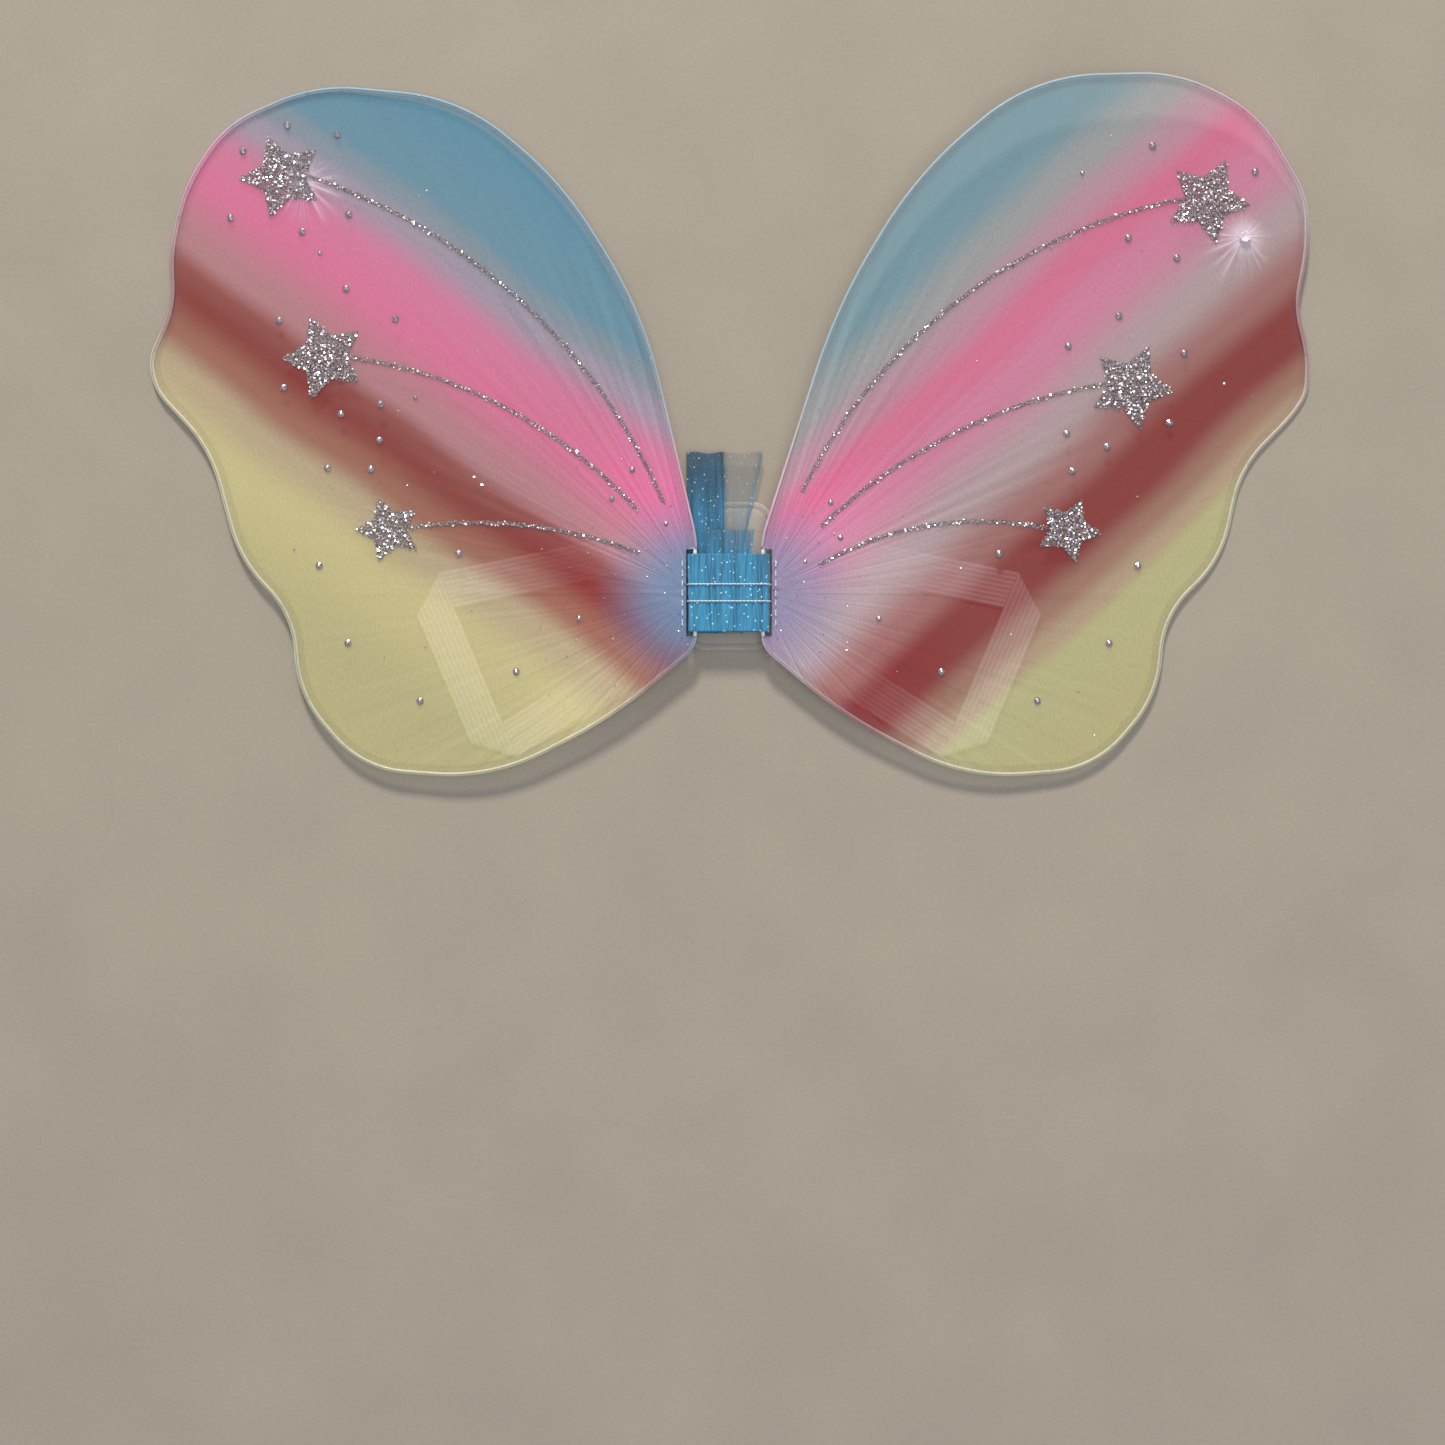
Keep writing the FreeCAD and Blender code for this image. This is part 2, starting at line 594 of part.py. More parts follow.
def make_strap(name, side):
    """An elastic arm loop laid flat under a wing, folded over at its far corners."""
    near = size("pad_width") / 2 + size("strap_clearance") + size("strap_width") / 2
    far, middle = near + size("strap_spread"), size("root_middle")
    seat_top = middle + size("strap_seat") / 2
    corners = ((near, seat_top), (far, middle), (near + size("strap_reach"), middle - size("strap_drop")),
               (near, seat_top - size("strap_seat")))
    line = Part.makePolygon([Vector(side * x, y, 0) for x, y in corners + corners[:1]])
    half = size("strap_width") / 2
    outside = Part.Face(line).makeOffset2D(half)
    inside = Part.Face(line).makeOffset2D(-half)
    ring = outside.cut(inside).Faces[0]
    node(ring.extrude(Vector(0, 0, size("strap_thickness"))), name + "_shoulder_strap")


make_strap("left", -1)
make_strap("right", 1)

# ---- checks and files ---------------------------------------------------------------------

doc.recompute()
for thing in doc.Objects:
    if "Invalid" in thing.State or "Error" in thing.State:
        raise RuntimeError("%s failed to recompute: %s" % (thing.Label, thing.State))
for thing in nodes:
    if thing.Shape.isNull() or not thing.Shape.isValid():
        raise RuntimeError("%s has no valid shape" % thing.Label)

os.makedirs("parts", exist_ok=True)
for thing in nodes:
    thing.Shape.exportStep("parts/%s.step" % thing.Label)
    box = thing.Shape.BoundBox
    print("%-24s %3d solids %9.1f mm3  x %7.1f %7.1f  y %7.1f %7.1f  z %6.2f %6.2f" % (
        thing.Label, len(thing.Shape.Solids), thing.Shape.Volume,
        box.XMin, box.XMax, box.YMin, box.YMax, box.ZMin, box.ZMax))
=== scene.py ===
import math

import bmesh
import bpy
import numpy as np
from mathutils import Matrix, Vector, geometry, kdtree


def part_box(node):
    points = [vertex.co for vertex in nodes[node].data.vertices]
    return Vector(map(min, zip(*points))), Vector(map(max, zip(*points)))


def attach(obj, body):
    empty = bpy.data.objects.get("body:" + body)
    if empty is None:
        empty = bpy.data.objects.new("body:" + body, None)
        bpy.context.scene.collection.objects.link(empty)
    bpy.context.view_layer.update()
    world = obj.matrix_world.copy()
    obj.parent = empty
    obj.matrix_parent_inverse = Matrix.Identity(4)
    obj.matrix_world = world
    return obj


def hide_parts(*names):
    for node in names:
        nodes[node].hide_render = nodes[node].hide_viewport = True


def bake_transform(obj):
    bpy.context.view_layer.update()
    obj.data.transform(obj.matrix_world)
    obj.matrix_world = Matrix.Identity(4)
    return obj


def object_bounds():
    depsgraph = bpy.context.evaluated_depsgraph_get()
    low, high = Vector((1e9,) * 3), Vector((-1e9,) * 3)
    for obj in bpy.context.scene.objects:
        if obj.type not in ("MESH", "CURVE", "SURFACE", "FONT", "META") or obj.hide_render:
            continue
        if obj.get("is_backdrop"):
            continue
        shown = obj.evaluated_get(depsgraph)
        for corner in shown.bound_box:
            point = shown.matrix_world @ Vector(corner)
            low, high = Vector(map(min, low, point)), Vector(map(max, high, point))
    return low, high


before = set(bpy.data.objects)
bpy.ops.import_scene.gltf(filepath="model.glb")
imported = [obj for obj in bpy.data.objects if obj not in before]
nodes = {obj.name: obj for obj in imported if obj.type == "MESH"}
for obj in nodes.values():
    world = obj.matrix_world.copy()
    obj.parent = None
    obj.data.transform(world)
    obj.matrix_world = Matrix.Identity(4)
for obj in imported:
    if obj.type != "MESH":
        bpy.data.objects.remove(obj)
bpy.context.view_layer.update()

# ---- Floor ------------------------------------------------------------------------------
# A plain pale floor of sealed screed, with a faint mottle and a fine trowelled grain. It is the
# stage and no part of the wings.


def linear(code):
    """An sRGB hex colour as the linear RGBA that a shader takes."""
    parts = [int(code[i:i + 2], 16) / 255 for i in (1, 3, 5)]
    return tuple(p / 12.92 if p <= 0.04045 else ((p + 0.055) / 1.055) ** 2.4 for p in parts) + (1,)


def add_node(tree, kind, sockets=None, **settings):
    """Adds a node. sockets gives its inputs by name or number, each a value or another output."""
    made = tree.nodes.new(kind)
    for key, value in settings.items():
        setattr(made, key, value)
    for key, value in (sockets or {}).items():
        if isinstance(value, bpy.types.NodeSocket):
            tree.links.new(value, made.inputs[key])
        else:
            made.inputs[key].default_value = value
    return made


def finish_named(name, base="#808080", **plain):
    """A new material, its node tree and its Principled shader with plain socket values set."""
    material = bpy.data.materials.new(name)
    material.use_nodes = True
    tree = material.node_tree
    shader = tree.nodes["Principled BSDF"]
    shader.inputs["Base Color"].default_value = linear(base)
    for key, value in plain.items():
        shader.inputs[key.replace("_", " ")].default_value = value
    return material, tree, shader


def in_millimetres(tree):
    """Object coordinates in millimetres, so that every pattern below has its real size."""
    place = add_node(tree, "ShaderNodeTexCoord").outputs["Object"]
    return add_node(tree, "ShaderNodeVectorMath", {0: place, "Scale": 1000.0}, operation="SCALE").outputs[0]


# Sealed screed: matt, a warm pale grey. Its mottle is 60 mm across, its trowelled grain 1.5 mm.
screed, tree, shader = finish_named("sealed_screed", Roughness=0.75, Specular_IOR_Level=0.25)
place = in_millimetres(tree)
mottle = add_node(tree, "ShaderNodeTexNoise", {"Vector": place, "Scale": 1 / 60, "Detail": 5.0})
grain = add_node(tree, "ShaderNodeTexNoise", {"Vector": place, "Scale": 1 / 1.5, "Detail": 3.0})
tone = add_node(tree, "ShaderNodeValToRGB", {"Fac": mottle.outputs["Fac"]})
tone.color_ramp.elements[0].position, tone.color_ramp.elements[0].color = 0.3, linear("#9e9689")
tone.color_ramp.elements[1].position, tone.color_ramp.elements[1].color = 0.7, linear("#a49c8e")
fleck = add_node(tree, "ShaderNodeMixRGB", {
    "Fac": 0.10, "Color1": tone.outputs["Color"], "Color2": grain.outputs["Fac"]}, blend_type="OVERLAY")
tree.links.new(fleck.outputs["Color"], shader.inputs["Base Color"])
rough = add_node(tree, "ShaderNodeBump", {
    "Height": grain.outputs["Fac"], "Strength": 0.15, "Distance": 0.0003})
tree.links.new(rough.outputs["Normal"], shader.inputs["Normal"])



def new_piece(name, points, faces, material):
    """An object of its own from points in metres and their faces, all of one material."""
    mesh = bpy.data.meshes.new(name)
    mesh.from_pydata(points, [], faces)
    mesh.materials.append(material)
    piece = bpy.data.objects.new(name, mesh)
    bpy.context.scene.collection.objects.link(piece)
    return piece


FLOOR_REACH = 6.0
corners = [(x * FLOOR_REACH, y * FLOOR_REACH, 0) for x, y in ((-1, -1), (1, -1), (1, 1), (-1, 1))]
new_piece("floor", corners, [(0, 1, 2, 3)], screed)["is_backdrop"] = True

# ---- Light and camera -------------------------------------------------------------------
# A window-like key a third of the way up the sky beyond the wings' tops, a broad soft light
# overhead and a pale surround. The camera looks straight down from a little under a metre.


def softbox(name, place, target, width, height, watts, tint):
    """A rectangular lamp that faces a target."""
    data = bpy.data.lights.new(name, "AREA")
    data.shape, data.size, data.size_y = "RECTANGLE", width, height
    data.energy, data.color = watts, linear(tint)[:3]
    lamp = bpy.data.objects.new(name, data)
    lamp.location = place
    lamp.rotation_euler = (Vector(target) - Vector(place)).to_track_quat("-Z", "Y").to_euler()
    bpy.context.scene.collection.objects.link(lamp)


softbox("key_light", (-0.33, 2.70, 1.79), (0, 0.06, 0), 0.55, 0.49, 95, "#fff6ec")
softbox("overhead_light", (0.2, -0.35, 1.9), (0, 0, 0), 1.6, 1.6, 16, "#f2f5ff")
world = bpy.data.worlds.new("pale_surround")
world.use_nodes = True
world.node_tree.nodes["Background"].inputs["Color"].default_value = linear("#e4e6ea")
world.node_tree.nodes["Background"].inputs["Strength"].default_value = 0.42
bpy.context.scene.world = world
bpy.context.scene.view_settings.view_transform = "Standard"

camera_data = bpy.data.cameras.new("camera")
camera_data.lens, camera_data.sensor_width = 50, 36
camera = bpy.data.objects.new("camera", camera_data)
camera.location = (-0.0027, -0.061, 0.837)
bpy.context.scene.collection.objects.link(camera)
bpy.context.scene.camera = camera

# ---- Wing wires and crimps --------------------------------------------------------------
# Each wing is a loop of spring wire, drawn and lacquered white, bent by hand over a jig. Its
# ends meet in a swaged steel crimp on the straight root. Both are the part's own solids.

# White lacquer on steel wire: a smooth dielectric skin, a little chipped where it was bent.
lacquer, tree, shader = finish_named("white_lacquered_spring_wire", Roughness=0.32, Coat_Weight=0.3)
place = in_millimetres(tree)
wear = add_node(tree, "ShaderNodeTexNoise", {"Vector": place, "Scale": 1 / 3, "Detail": 4.0})
skin = add_node(tree, "ShaderNodeValToRGB", {"Fac": wear.outputs["Fac"]})
skin.color_ramp.elements[0].position, skin.color_ramp.elements[0].color = 0.30, linear("#b9bcc0")
skin.color_ramp.elements[1].position, skin.color_ramp.elements[1].color = 0.42, linear("#eef0f2")
tree.links.new(skin.outputs["Color"], shader.inputs["Base Color"])

# Swaged steel: bright, with the die's fine lines a quarter of a millimetre apart round it.
swaged, tree, shader = finish_named("swaged_steel", base="#b8b6b0", Metallic=1.0)
place = in_millimetres(tree)
lines = add_node(tree, "ShaderNodeTexWave", {
    "Vector": place, "Scale": 1.25, "Distortion": 1.5}, bands_direction="Y")
tree.links.new(add_node(tree, "ShaderNodeMapRange", {
    "Value": lines.outputs["Fac"], "To Min": 0.25, "To Max": 0.45}).outputs["Result"],
    shader.inputs["Roughness"])


def give(node_name, material):
    """Assigns a material to every slot of a part's own solid."""
    for slot in nodes[node_name].material_slots:
        slot.material = material


for name in ("left", "right"):
    give(name + "_wing_wire", lacquer)
    give(name + "_wire_crimp", swaged)

# ---- Wing covers ------------------------------------------------------------------------
# Each loop wears a tube of sheer knitted nylon, tie-dyed in soft diagonal bands and pulled
# tight: two layers that wrap the wire and lie almost together between, gathered in pleats at
# the root and puckered where the tube's toe is tied off.

ROOT_OFFSET, ROOT_MIDDLE, ROOT_HEIGHT = 14.0, -7.5, 8.49
LOWER_CORNERS = [(181, -16), (178, -50), (152, -80), (98, -84), (48, -58)]

# For each wing, in millimetres: the side it is on, the bow of its middle surface, the sine of
# its droop, the tied toe and the face it stands on, the colour its dye runs to at the root, the
# corners that its wire is bent round, and the slant of the dye in degrees with the colour at
# each distance across it.
WINGS = {
    "left": {
        "side": -1, "lift": -3.0, "droop": 0.0265, "knot": (177.5, 164), "face": -1, "root": "#6a95bb",
        "corners": [(36, 108), (70, 163), (112, 198), (172, 204), (209, 188), (226, 163), (232.5, 135),
                    (231, 112), (241, 90), (238, 77), (215.5, 53), (203, 7)] + LOWER_CORNERS,
        "turn": 36, "bands": [
            (-125, "#d2cc92"), (-84, "#e2d89c"), (-66, "#d0bd98"), (-53, "#b0705c"), (-38, "#982c28"),
            (-30, "#a04642"), (-20, "#c98c94"), (8, "#f07cad"), (20, "#ea83b0"), (36, "#b3a6bb"),
            (45, "#8ea3b3"), (54, "#6aa0b8"), (85, "#5b9db9")]},
    "right": {
        "side": 1, "lift": 9.0, "droop": 0.0392, "knot": (213.5, 140), "face": 1, "root": "#8d93b4",
        "corners": [(45, 111), (78, 165), (125, 204), (185, 206), (218, 190), (239, 157), (240, 136),
                    (235.5, 112), (241, 92), (240.5, 76), (234.5, 67), (213, 45), (205, 7)] + LOWER_CORNERS,
        "turn": 42, "bands": [
            (-150, "#cfc98d"), (-115, "#d0cd94"), (-107, "#c8ae8e"), (-98, "#b0806c"), (-86, "#961a1c"),
            (-75, "#961a1c"), (-63, "#b27472"), (-44, "#c8b0b4"), (-17, "#e88db4"), (0, "#ee79a6"),
            (14, "#d09fb4"), (27, "#aeb2b5"), (46, "#78a8b8"), (66, "#6fa5b8")]}}
RIM = 0.97          # nylon's radius round the 0.8 mm wire
LAYER = 0.36        # half the gap between the two layers, away from the wire
ROOT_EDGE = 3.65    # root fold of the cover, clear of the wrap and its thread
ROOT_HALF = 22.0    # half the length of a wire's straight root
WING_RISE = 205.0   # over which the bow of a wing rises by its lift
RUN_IN = 5.5        # how far from either end of the root its bend begins
MOUTH_LOW, MOUTH_HIGH = -24.3, 9.3      # between which the cover's mouth lies along the root
# Rows of points that follow the wire: how far in from it, and the least that a bend leaves them
WIRE_ROWS = ((0.7, 0.6), (1.5, 1.35), (2.6, 2.3), (4.2, 3.7))
ROW_SPACING, FAN_SPACING, FIELD_SPACING, RIM_CLEARANCE = 0.5, 0.42, 0.95, 0.6
FAN_START, FAN_END, KNOT_END = 4.6, 46, 15      # how far the fans reach from the root and knot
FIELD_WIDTH, FIELD_LOW, FIELD_HIGH, FIELD_ACROSS, FIELD_UP = 235, -90, 215, 1.9, 1.65


def bow(y, lift):
    """Height of a wing's middle surface at y: flat below the root line, an arc above it."""
    radius = WING_RISE ** 2 / (2 * lift) + lift / 2
    above = np.maximum(y, 0)
    return radius - math.copysign(1, radius) * np.sqrt(radius ** 2 - above ** 2)


def set_on_root(wing, points):
    """Points of a wing's own frame, in mm, set on its root in the row frame, in metres."""
    tilt = math.asin(wing["droop"])
    x, y, z = np.asarray(points, float).T
    across = ROOT_OFFSET + x * math.cos(tilt) + z * math.sin(tilt)
    height = np.maximum(ROOT_HEIGHT - x * math.sin(tilt) + z * math.cos(tilt), 0.0)
    return np.stack([wing["side"] * across, y, height], 1) / 1000


def wire_line(wing, step):
    """The loop's centre line outside the wrap: straight runs joined by tangent arcs."""
    flat = [(0, ROOT_MIDDLE), (0, ROOT_MIDDLE + ROOT_HALF)]
    flat += [(x - ROOT_OFFSET, y) for x, y in wing["corners"]]
    flat += [(0, ROOT_MIDDLE - ROOT_HALF), (0, ROOT_MIDDLE)]
    poles = [Vector((x, y, float(bow(np.float64(y), wing["lift"])))) for x, y in flat]
    runs = [(b - a).length for a, b in zip(poles, poles[1:])]
    reaches = [RUN_IN] + [0.45 * min(pair) for pair in zip(runs[1:], runs[2:-1])] + [RUN_IN]
    line = []
    for before, pole, after, reach in zip(poles, poles[1:], poles[2:], reaches):
        start = pole + (before - pole).normalized() * reach
        end = pole + (after - pole).normalized() * reach
        weight = math.cos((pole - before).angle(after - pole) / 2)
        if line:
            gap = start - line[-1]
            count = int(gap.length / step)
            line += [line[-1] + gap * (i / (count + 1)) for i in range(1, count + 1)]
        count = max(3, int(2 * reach / step))
        for i in range(count + 1):
            t = i / count
            a, b, c = (1 - t) ** 2, 2 * t * (1 - t) * weight, t ** 2
            line.append((start * a + pole * b + end * c) / (a + b + c))
    return np.array(line[1:-1])


def inside(points, ring):
    """Which plan points lie inside a closed plan ring."""
    x, y = points[:, :1], points[:, 1:2]
    x0, y0 = ring[:, 0], ring[:, 1]
    x1, y1 = np.roll(x0, -1), np.roll(y0, -1)
    crossing = (y0 > y) != (y1 > y)
    with np.errstate(divide="ignore", invalid="ignore"):
        left_of = x < (x1 - x0) * (y - y0) / (y1 - y0) + x0
    return (crossing & left_of).sum(1) % 2 == 1


def ripple(angle, counts, seed):
    """Uneven folds round a point, between -1 and 1: a few waves with fixed random phases."""
    phases = np.random.default_rng(seed).uniform(0, 2 * math.pi, len(counts))
    return sum(np.sin(n * angle + p) for n, p in zip(counts, phases)) / len(counts)


def line_finder(rim):
    """A tree that finds the nearest point of a plan line."""
    tree = kdtree.KDTree(len(rim))
    for i, p in enumerate(rim):
        tree.insert((p[0], p[1], 0), i)
    tree.balance()
    return tree


def cover_points(ring, rim, knot):
    """Plan points to fill a cover: rows along the wire, fans at the root and knot, a hex field."""
    along = np.roll(rim, -1, 0) - np.roll(rim, 1, 0)
    along[0], along[-1] = rim[1] - rim[0], rim[-1] - rim[-2]
    inward = np.stack([along[:, 1], -along[:, 0]], 1) / np.linalg.norm(along, axis=1)[:, None]
    sets = [(rim + inward * d, ROW_SPACING, least) for d, least in WIRE_ROWS]
    radius = FAN_START
    while radius < FAN_END:
        count = int(math.pi * radius / (0.55 + radius / 50))
        turn = np.linspace(-math.pi / 2, math.pi / 2, count)
        stretch = (1.5 + 11 * FAN_START / radius) * 1.4
        fan = np.stack([radius * np.cos(turn), ROOT_MIDDLE + (stretch + radius) * np.sin(turn)], 1)
        sets.append((fan, FAN_SPACING, RIM_CLEARANCE))
        radius += 0.8 + radius / 60
    for radius in np.arange(0.8, KNOT_END, 0.75):
        count = int(2 * math.pi * radius / (0.4 + radius / 22))
        turn = np.linspace(0, 2 * math.pi, count, endpoint=False)
        fan = np.stack([knot[0] + radius * np.cos(turn), knot[1] + radius * np.sin(turn)], 1)
        sets.append((fan, FAN_SPACING, RIM_CLEARANCE))
    across = np.arange(0, FIELD_WIDTH, FIELD_ACROSS)
    for j, y in enumerate(np.arange(FIELD_LOW, FIELD_HIGH, FIELD_UP)):
        row = np.stack([across + FIELD_ACROSS / 2 * (j % 2), np.full(len(across), y)], 1)
        sets.append((row, FIELD_SPACING, RIM_CLEARANCE))
    tree = line_finder(rim)
    kept, cells = [], {}
    for group, apart, clearance in sets:
        for p in group[inside(group, ring)]:
            if p[0] < ROOT_EDGE + 0.4 and MOUTH_LOW - 0.2 < p[1] < MOUTH_HIGH + 0.2:
                continue
            if tree.find((p[0], p[1], 0))[2] < clearance:
                continue
            cell = (int(p[0] // 1), int(p[1] // 1))
            around = [(cell[0] + i, cell[1] + j) for i in (-1, 0, 1) for j in (-1, 0, 1)]
            near = [q for other in around for q in cells.get(other, ())]
            if all((q[0] - p[0]) ** 2 + (q[1] - p[1]) ** 2 > apart ** 2 for q in near):
                cells.setdefault(cell, []).append(p)
                kept.append(p)
    return np.array(kept)


def make_cover(name, wing, nylon):
    """Both nylon layers of one wing with the turn round the wire, as one closed skin."""
    line = wire_line(wing, 1.4)
    first = int(np.argmax(line[:, 1] > MOUTH_HIGH))
    last = len(line) - 1 - int(np.argmax(line[::-1, 1] < MOUTH_LOW))
    line = line[first:last + 1]
    rim = line[:, :2]
    fold_y = np.arange(line[-1, 1], line[0, 1] + 0.01, 0.75)
    fold = np.stack([np.full(len(fold_y), ROOT_EDGE), fold_y], 1)
    ring = np.vstack([rim, fold])
    knot = np.array([wing["knot"][0] - ROOT_OFFSET, wing["knot"][1]])
    fill = cover_points(ring, rim, knot)
    plan = [Vector(p) for p in np.vstack([ring, fill])]
    edges = [(i, (i + 1) % len(ring)) for i in range(len(ring))]
    plan, _, triangles, _, _, _ = geometry.delaunay_2d_cdt(plan, edges, [], 1, 1e-5)
    xy = np.array([tuple(p) for p in plan])
    tree = line_finder(rim)
    found = [tree.find((p[0], p[1], 0)) for p in xy]
    nearest, away = np.array([f[1] for f in found]), np.array([f[2] for f in found])

    # the middle surface, its pleats from the root and its puckers round the tied toe
    middle = bow(xy[:, 1], wing["lift"])
    middle += (line[nearest, 2] - bow(rim[nearest, 1], wing["lift"])) * np.exp(-away / 6)
    from_root = xy - np.array([0, ROOT_MIDDLE])
    reach, angle = np.linalg.norm(from_root, axis=1), np.arctan2(from_root[:, 1], from_root[:, 0])
    free = 1 - np.exp(-away / 2.5)
    pleats = 0.75 * np.exp(-reach / 17) * ripple(angle, (23, 31, 44), 3 + wing["side"])
    from_knot = xy - knot
    off, round_knot = np.linalg.norm(from_knot, axis=1), np.arctan2(from_knot[:, 1], from_knot[:, 0])
    puckers = 0.42 * np.exp(-off / 6.5) * (1 - np.exp(-off / 1.5)) * ripple(round_knot, (9, 14, 19), 8)
    middle += free * (pleats + puckers + wing["face"] * 0.35 * np.exp(-(off / 4) ** 2))
    half = LAYER + (RIM - LAYER) * np.exp(-away / 3.2)

    count, loop = len(xy), len(rim)
    front = np.column_stack([xy, middle + half])
    back = np.column_stack([xy, middle - half])
    lookup = {(round(p[0], 3), round(p[1], 3)): i for i, p in enumerate(xy)}
    edge = [lookup[(round(p[0], 3), round(p[1], 3))] for p in ring]
    along = np.gradient(line, axis=0)
    outward = np.stack([-along[:, 1], along[:, 0]], 1)
    outward /= np.linalg.norm(outward, axis=1)[:, None]
    points, wire_edge = [front, back], [np.zeros(2 * count)]
    for i, k in enumerate(edge[:loop]):
        front[k, 2], back[k, 2] = line[i, 2] + RIM, line[i, 2] - RIM
        wire_edge[0][[k, k + count]] = 1
    rows = [edge[:loop]]
    total = 2 * count
    for turn in np.linspace(math.pi / 2, -math.pi / 2, 8)[1:-1]:
        out, up = RIM * math.cos(turn), RIM * math.sin(turn)
        points.append(np.column_stack([rim + outward * out, line[:, 2] + up]))
        wire_edge.append(np.ones(loop))
        rows.append(list(range(total, total + loop)))
        total += loop
    rows.append([k + count for k in edge[:loop]])
    faces = [tuple(t) for t in triangles] + [tuple(count + k for k in reversed(t)) for t in triangles]
    for a, b in zip(rows, rows[1:]):
        faces += [(a[i], b[i], b[i + 1], a[i + 1]) for i in range(loop - 1)]
    closing = edge[loop - 1:] + edge[:1]
    ends = [(row[-1], row[0]) for row in rows]
    for a, b in zip(closing[:-1], closing[1:]):
        faces.append((a, a + count, b + count, b))
    faces.append(tuple(end for end, _ in ends))
    faces.append(tuple(start for _, start in reversed(ends)))
    if wing["side"] < 0:
        faces = [tuple(reversed(f)) for f in faces]
    cover = new_piece(name, set_on_root(wing, np.vstack(points)).tolist(), faces, nylon)
    from_rim = np.concatenate([away, away, np.zeros(total - 2 * count)])
    for label, values in (("wire_edge", np.concatenate(wire_edge)), ("rim_distance", from_rim)):
        held = cover.data.attributes.new(label, "FLOAT", "POINT")
        held.data.foreach_set("value", values.astype(np.float32))
    cover.data.shade_smooth()
    outline = np.vstack([ring, ring[:1]])
    area = abs(np.sum(outline[:-1, 0] * outline[1:, 1] - outline[1:, 0] * outline[:-1, 1])) / 2 / 1e6
    return cover, area


